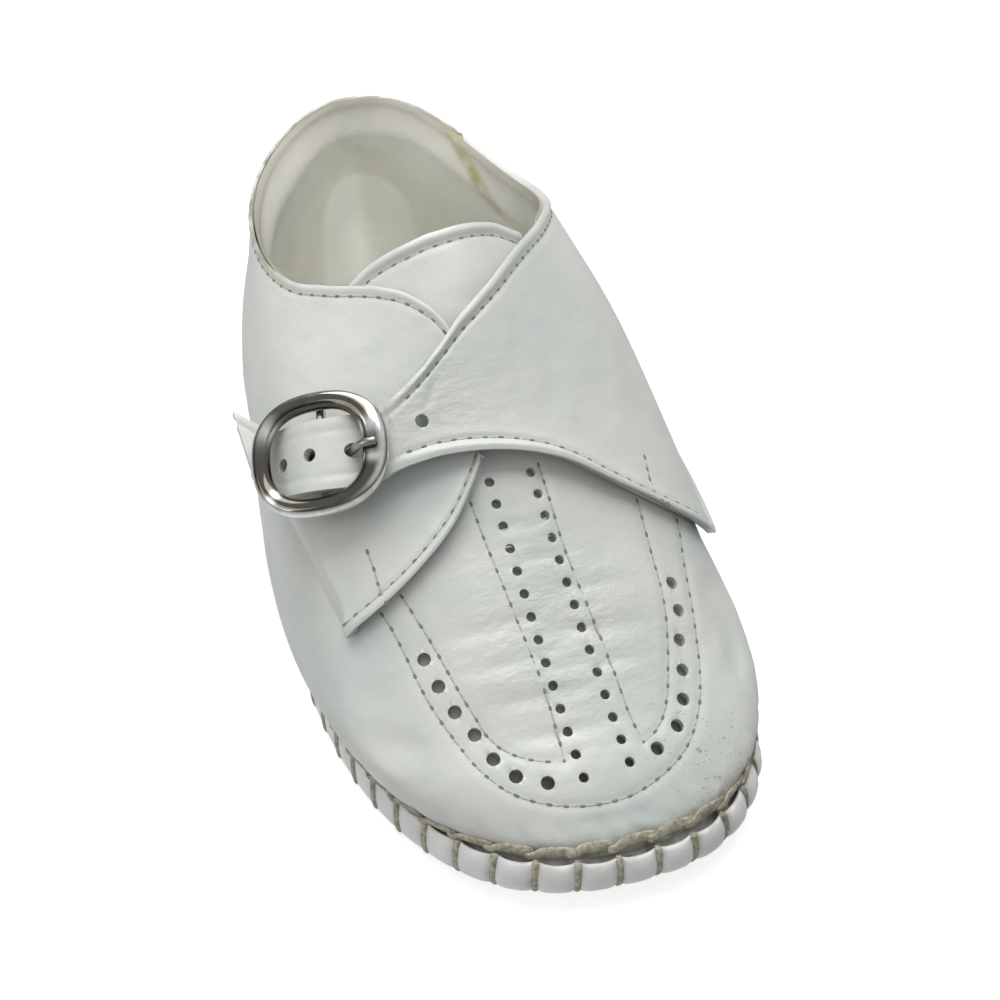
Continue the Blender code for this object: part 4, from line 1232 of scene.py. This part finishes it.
# Inner quarter and strap: one piece of white leather from the back seam forward, running on as the strap
# that crosses the instep, goes through the buckle and ends in a slanted tip. All its long edges are folded
# and sewn.
MEDIAL_BACK = np.array([
    (126.9, 18.2, 128.7, 41.9),
    (112.0, 20.2, 114.0, 40.5),
    (98.0, 21.4, 96.0, 41.6),
    (85.0, 20.7, 79.0, 43.8),
    (74.0, 19.0, 63.0, 45.8),
    (63.0, 16.6, 47.0, 47.3),
])
STRAP_ON_LAST = np.array([
    (63.0, 16.6, 47.0, 47.3, 0.35),
    (52.0, 20.6, 38.0, 47.9, 0.35),
    (42.8, 23.9, 28.0, 48.2, 0.4),
    (30.8, 28.0, 17.0, 48.0, 0.6),
    (16.0, 31.9, 8.0, 47.4, 1.1),
    (5.8, 33.7, 1.0, 46.4, 1.5),
    (-4.0, 34.8, -5.0, 44.9, 1.8),
    (-14.0, 34.7, -13.8, 42.2, 2.5),
])
# Strap through the buckle, seen from its centre bar: the lower edge along and across the buckle, the upper
# edge along and across, and the height of the strap's inner face.
STRAP_IN_BUCKLE = np.array([
    (-9.4, -3.0, -10.4, 7.1, -1.4),
    (-6.4, -4.3, -6.9, 5.3, -1.0),
    (-3.2, -4.9, -3.2, 4.7, 1.2),
    (0.0, -4.9, 0.0, 4.5, 2.1),
    (3.0, -4.6, 3.0, 4.7, 1.2),
    (5.6, -4.0, 5.9, 5.0, -0.75),
    (7.4, -3.3, 8.2, 6.0, -1.3),
    (9.0, -2.4, 10.8, 7.5, -1.1),
    (10.3, -1.6, 12.9, 8.7, -0.3),
])
BUCKLE_ANGLE = -41.0
BUCKLE_HEIGHT = 33.6
BUCKLE_LIFT = 3.9
STRAP_FALL = 0.135
MEDIAL_WALL = 1.2
STRAP_ROWS = 60
STRAP_STEPS = 6
FIRST_HOLE = (-15.2, 37.4)
FIRST_HOLE_RADIUS = 0.9
# The other holes, the prong's own last: place along the strap from the centre bar, half length, half width.
STRAP_HOLES = ((0.8, 0.9, 0.9), (5.6, 0.9, 0.9), (-5.0, 1.3, 1.04))
STRAP_HOLE_REACH = 6
BUCKLE_REACH = 48
SEWN_FROM = 24
STRAP_CURL = 0.35
STRAP_CREASES = np.array([
    (-9.5, -10.5, -6.5, -7.0, 0.10, 0.5),
    (-11.0, -8.5, -8.5, -4.5, 0.10, 0.5),
    (-12.5, -11.5, -11.0, -5.0, 0.10, 0.5),
    (-14.5, -12.0, -14.2, -6.0, 0.09, 0.5),
    (6.0, -14.5, 10.0, -6.0, 0.07, 1.4),
    (15.0, -15.0, 17.0, -4.0, 0.06, 1.6),
    (20.5, -14.0, 22.5, -3.0, 0.06, 1.5),
])
# A short second seam down the strap's inner side, opposite the one on the outer quarter.
STRAP_BAR_LINE = np.array([
    (19.9, -16.3, 30.1), (19.3, -20.0, 28.5), (19.3, -23.6, 26.7), (19.5, -25.0, 25.9),
])


def on_last(angle, height, lift):
    """One point over the last at an angle, a height and a distance out."""
    return lifted(np.array(angle), level_at(angle, height), lift)


bar_foot = on_last(BUCKLE_ANGLE, BUCKLE_HEIGHT, 0.0)
bar_middle = on_last(BUCKLE_ANGLE, BUCKLE_HEIGHT, BUCKLE_LIFT)
buckle_out = (bar_middle - bar_foot) / BUCKLE_LIFT
bar_ahead = on_last(BUCKLE_ANGLE - 2, BUCKLE_HEIGHT - 2 * STRAP_FALL, 0.0) - bar_foot
buckle_along, buckle_across, buckle_out = axes_for(buckle_out, bar_ahead)
buckle_across = np.cross(buckle_along, buckle_out)


def at_buckle(along, across, out):
    """Points given from the buckle's centre bar: along the strap, across it and out from the shoe."""
    along, across, out = np.broadcast_arrays(along, across, out)
    return (bar_middle + along[..., None] * buckle_along + across[..., None] * buckle_across
            + out[..., None] * buckle_out)


def evened(field, reach):
    """A sheet's points or directions, each averaged with its neighbours along the row."""
    padded = np.pad(field, ((0, 0), (reach, reach), (0, 0)), mode="edge")
    return sum(padded[:, k:k + field.shape[1]] for k in range(2 * reach + 1)) / (2 * reach + 1)


back_angles, back_heights = rib_places(ribs(MEDIAL_BACK, 16), STRAP_ROWS)
back_sections = lifted(back_angles, level_at(back_angles, back_heights), GAP)
over_ribs = ribs(STRAP_ON_LAST, 22)[1:]
over_angles, over_heights = rib_places(over_ribs, STRAP_ROWS)
over_lift = np.broadcast_to(over_ribs[:, 4], over_angles.shape)
over_sections = lifted(over_angles, level_at(over_angles, over_heights), over_lift)
held = ribs(STRAP_IN_BUCKLE, 25)
held_share = edge_rows_of(STRAP_ROWS)[:, None]
held_along = held[:, 0] + (held[:, 2] - held[:, 0]) * held_share
held_across = held[:, 1] + (held[:, 3] - held[:, 1]) * held_share
held_sections = at_buckle(held_along, held_across, np.broadcast_to(held[:, 4], held_along.shape))
sections = np.concatenate([back_sections, over_sections, held_sections], axis=1)[:, ::-1]
section_count = sections.shape[1]
section_gaps = np.linalg.norm(np.diff(sections, axis=1), axis=2).mean(axis=0)
section_run = np.concatenate([[0], np.cumsum(section_gaps)])
section_numbers = np.linspace(0, section_count - 1, (section_count - 1) * STRAP_STEPS + 1)
dense_run = np.interp(section_numbers, np.arange(section_count), section_run)
section_rows = np.moveaxis(sections, 1, 0).reshape(section_count, -1)
dense = through(dense_run, np.column_stack([section_run, section_rows]))
strap_bare = np.moveaxis(dense.reshape(len(dense), STRAP_ROWS, 3), 0, 1)
from_tip = from_edge(strap_bare, 1, 0)
by_buckle = (ramp(from_tip, BUCKLE_REACH, -6) * ramp(from_tip, 0, 6))[..., None]
strap_bare = strap_bare * (1 - by_buckle) + evened(strap_bare, 7) * by_buckle
strap_normals = sheet_normals(strap_bare)
strap_normals = strap_normals * (1 - by_buckle) + evened(strap_normals, 9) * by_buckle
strap_bare = strap_bare + strap_normals * MEDIAL_WALL
strap_low = from_edge(strap_bare, 0, 0)
strap_high = from_edge(strap_bare, 0, -1)
strap_tip = from_edge(strap_bare, 1, 0)
strap_relief = folded_edge(np.minimum(strap_low, strap_high), SEAM_INSET)
strap_relief = strap_relief * np.clip((strap_tip - 21) / 9, 0.2, 1)
strap_relief += STRAP_CURL * bell(strap_low, 0, 3.0) * ramp(strap_tip, 22, 6)
strap_relief += creased(strap_bare[..., :2], STRAP_CREASES) * ramp(strap_tip, SEWN_FROM, 6)
strap_points = strap_bare + strap_normals * strap_relief[..., None]
strap, strap_place = sheet_mesh("inner_quarter_and_strap", strap_points)
by_hole = np.linalg.norm((strap_bare[..., :2] - np.array((-8.0, -8.5))) / np.array((9.0, 6.0)), axis=2)
mark(strap, strap_place, "crinkle", bell(by_hole, 0, 1) * (strap_tip > SEWN_FROM))
close_seams(strap)
first_out = on_last(*FIRST_HOLE, 1.0) - on_last(*FIRST_HOLE, 0.0)
first, second, third = axes_for(first_out, buckle_along)
pierced = [(on_last(*FIRST_HOLE, 2.5), first * FIRST_HOLE_RADIUS, second * FIRST_HOLE_RADIUS, third * 4)]
for along, half_length, half_width in STRAP_HOLES:
    pierced.append((at_buckle(along, 0.0, 0.0), buckle_along * half_length,
                    buckle_across * half_width, buckle_out * STRAP_HOLE_REACH))
pierce(strap, pierced)
give_wall(strap, MEDIAL_WALL, 0.45)
strap.data.materials.append(white_leather)
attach(strap, "root")
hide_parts("quarter_medial")
clear = strap_tip.min(axis=0) > SEWN_FROM
for name, distance in (("strap_lower", strap_low), ("strap_upper", strap_high)):
    seam(name, *seam_along(strap_points[:, clear], strap_normals[:, clear], distance[:, clear], SEAM_INSET))
strap_end = from_edge(strap_bare, 1, -1)
inner_rows = slice(5, STRAP_ROWS - 5)
fields = (strap_points, strap_normals, strap_end)
end_sheet = [np.swapaxes(field, 0, 1)[:, inner_rows] for field in fields]
seam("back_seam", *seam_along(*end_sheet, BACK_SEAM_INSET))
seam("strap_bar", *seam_through(strap_points, strap_normals, STRAP_BAR_LINE))


# Chape: the short leather loop that holds the buckle's centre bar on the outer quarter. Its shape in the
# frame is right, so the node stays and gets the finish of soft unpainted leather.
CHAPE_COLOUR = (0.47, 0.42, 0.32)
CHAPE_WORN = (0.33, 0.28, 0.19)
chape_finish, shader = new_finish("chape leather", CHAPE_COLOUR, 0.65)
tone = tinted(chape_finish, CHAPE_COLOUR, clouded(chape_finish, 500.0, 4.0, 0.35, 0.7), CHAPE_WORN)
connect(chape_finish, tone, shader.inputs["Base Color"])
connect(chape_finish, grained(chape_finish, ((1600.0, 3.0, 0.25, 0.0004),)), shader.inputs["Normal"])
chape = bpy.data.objects["buckle_chape"]
chape.data.materials.clear()
chape.data.materials.append(chape_finish)


# Buckle: a cast and chromed frame, rounded all over, with a broad flattened side for the prong to rest on
# and a thin centre bar dropped below it. Its inner half is painted dark as a reflection, but for a few
# spots left bright as painted highlights.
FRAME_MIDDLE = (0.05, 0.3)
FRAME_HALF_LENGTH = 8.1
FRAME_HALF_WIDTH = 7.1
FRAME_SQUARE = 2.45
FRAME_RADIUS = 1.25
FRAME_BROAD = 1.75
FRAME_BROAD_THICK = 1.3
FRAME_RISE = 2.1
FRAME_STEPS = 128
FRAME_SIDES = 20
BAR_RADIUS = 0.7
BAR_DROP = 0.3
BAR_SHORT = 0.6
# Painted highlights: angles round the frame and half widths where the painted dark reflection is left out.
PAINTED_GLINTS = ((0.6, 0.26), (2.86, 0.16), (3.36, 0.08), (5.55, 0.1))
bpy.ops.object.select_all(action="DESELECT")
bpy.ops.mesh.primitive_torus_add(major_segments=FRAME_STEPS, minor_segments=FRAME_SIDES)
buckle = bpy.context.object
buckle.name = "chromed_buckle"
buckle.data.name = "chromed_buckle"
turn = np.repeat(np.linspace(0, 2 * np.pi, FRAME_STEPS, endpoint=False), FRAME_SIDES)
ring = np.tile(np.linspace(0, 2 * np.pi, FRAME_SIDES, endpoint=False), FRAME_STEPS)
cosine, sine = np.cos(turn), np.sin(turn)
middle_along = FRAME_MIDDLE[0] + np.sign(cosine) * FRAME_HALF_LENGTH * np.abs(cosine) ** (2 / FRAME_SQUARE)
middle_across = FRAME_MIDDLE[1] + np.sign(sine) * FRAME_HALF_WIDTH * np.abs(sine) ** (2 / FRAME_SQUARE)
facing_along = np.sign(cosine) * np.abs(cosine) ** (2 - 2 / FRAME_SQUARE) / FRAME_HALF_LENGTH
facing_across = np.sign(sine) * np.abs(sine) ** (2 - 2 / FRAME_SQUARE) / FRAME_HALF_WIDTH
facing = np.hypot(facing_along, facing_across)
broad = np.clip(-cosine, 0, 1) ** 2
half_wide = FRAME_RADIUS + (FRAME_BROAD - FRAME_RADIUS) * broad
half_thick = FRAME_RADIUS + (FRAME_BROAD_THICK - FRAME_RADIUS) * broad
outward = half_wide * np.cos(ring)
frame_points = at_buckle(middle_along + outward * facing_along / facing,
                         middle_across + outward * facing_across / facing,
                         FRAME_RISE + half_thick * np.sin(ring))
buckle.data.vertices.foreach_set("co", part_frame(frame_points).ravel())
buckle.data.update()
# Painted dark reflection on the inner half of the tube, left out at the painted highlights.
painted_dark_reflection = ramp(-np.cos(ring), -0.66, 0.25)
painted_glints = sum(bell(turn, place, half) for place, half in PAINTED_GLINTS)
mark(buckle, slice(None), "painted_dark_reflection", painted_dark_reflection * np.clip(1 - painted_glints, 0, 1))
bpy.ops.mesh.primitive_cylinder_add(vertices=20, radius=BAR_RADIUS, depth=2.0)
bar = bpy.context.object
bar_shape = np.array([vertex.co for vertex in bar.data.vertices])
bar_across = FRAME_MIDDLE[1] + bar_shape[:, 2] * (FRAME_HALF_WIDTH - BAR_SHORT)
bar_points = at_buckle(bar_shape[:, 0], bar_across, bar_shape[:, 1] + BAR_DROP)
bar.data.vertices.foreach_set("co", part_frame(bar_points).ravel())
bar.data.update()
bpy.context.view_layer.objects.active = buckle
buckle.select_set(True)
bar.select_set(True)
bpy.ops.object.join()
close_seams(buckle)
bpy.ops.object.shade_smooth_by_angle(angle=np.radians(40))
CHROME_COLOUR = (0.78, 0.78, 0.74)
CHROME_TARNISH = (0.48, 0.45, 0.37)
# Colour of the painted dark reflection.
CHROME_PAINTED_REFLECTION = (0.07, 0.062, 0.046)
chrome, shader = new_finish("chrome", CHROME_COLOUR, 0.1)
shader.inputs["Metallic"].default_value = 1.0
tone = tinted(chrome, CHROME_COLOUR, clouded(chrome, 420.0, 4.0, 0.45, 0.8), CHROME_TARNISH)
tone = stained(chrome, tone, "painted_dark_reflection", 0.92, CHROME_PAINTED_REFLECTION)
connect(chrome, tone, shader.inputs["Base Color"])
connect(chrome, clouded(chrome, 700.0, 3.0, 0.3, 0.75, 0.06, 0.2), shader.inputs["Roughness"])
connect(chrome, grained(chrome, ((380.0, 3.0, 0.05, 0.0004),)), shader.inputs["Normal"])
buckle.data.materials.append(chrome)
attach(buckle, "root")
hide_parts("buckle_frame")


# Prong: a length of round wire hooked on the centre bar, up through the strap's hole and over the broad
# side of the frame, with a blunt rounded tip.
PRONG_RADIUS = 0.55
PRONG_STEP = 0.25
STEEL_COLOUR = (0.42, 0.42, 0.40)
STEEL_DULL = (0.22, 0.21, 0.19)
PRONG_ROUTE = np.array([
    (1.5, 0.0), (1.1, -1.1), (0.0, -1.55), (-1.1, -1.1), (-2.4, -0.2), (-3.8, 0.8), (-5.0, 2.0), (-6.1, 3.3),
    (-7.4, 4.0), (-8.5, 3.95), (-9.0, 3.75),
])
route = smooth_line(PRONG_ROUTE, PRONG_STEP)
prong_turns = np.linspace(0, 2 * np.pi, 15)
ahead = unit(np.gradient(route, axis=0))
to_end = np.minimum(np.arange(len(route)), np.arange(len(route))[::-1]) * PRONG_STEP
prong_radius = PRONG_RADIUS * np.sqrt(np.clip(1 - (1 - ramp(to_end, 0, PRONG_RADIUS)) ** 2, 0, 1))
wide = prong_radius[:, None] * np.cos(prong_turns)
deep = prong_radius[:, None] * np.sin(prong_turns)
prong_along = route[:, 0, None] - deep * ahead[:, 1, None]
prong_out = route[:, 1, None] + deep * ahead[:, 0, None]
prong_points = at_buckle(prong_along, wide, prong_out)
prong, _ = sheet_mesh("buckle_tongue_wire", prong_points)
close_seams(prong)
steel, shader = new_finish("prong steel", STEEL_COLOUR, 0.3)
shader.inputs["Metallic"].default_value = 1.0
tone = tinted(steel, STEEL_COLOUR, clouded(steel, 600.0, 3.0, 0.3, 0.7), STEEL_DULL)
connect(steel, tone, shader.inputs["Base Color"])
connect(steel, clouded(steel, 900.0, 2.0, 0.3, 0.7, 0.22, 0.42), shader.inputs["Roughness"])
prong.data.materials.append(steel)
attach(prong, "root")
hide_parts("buckle_prong")
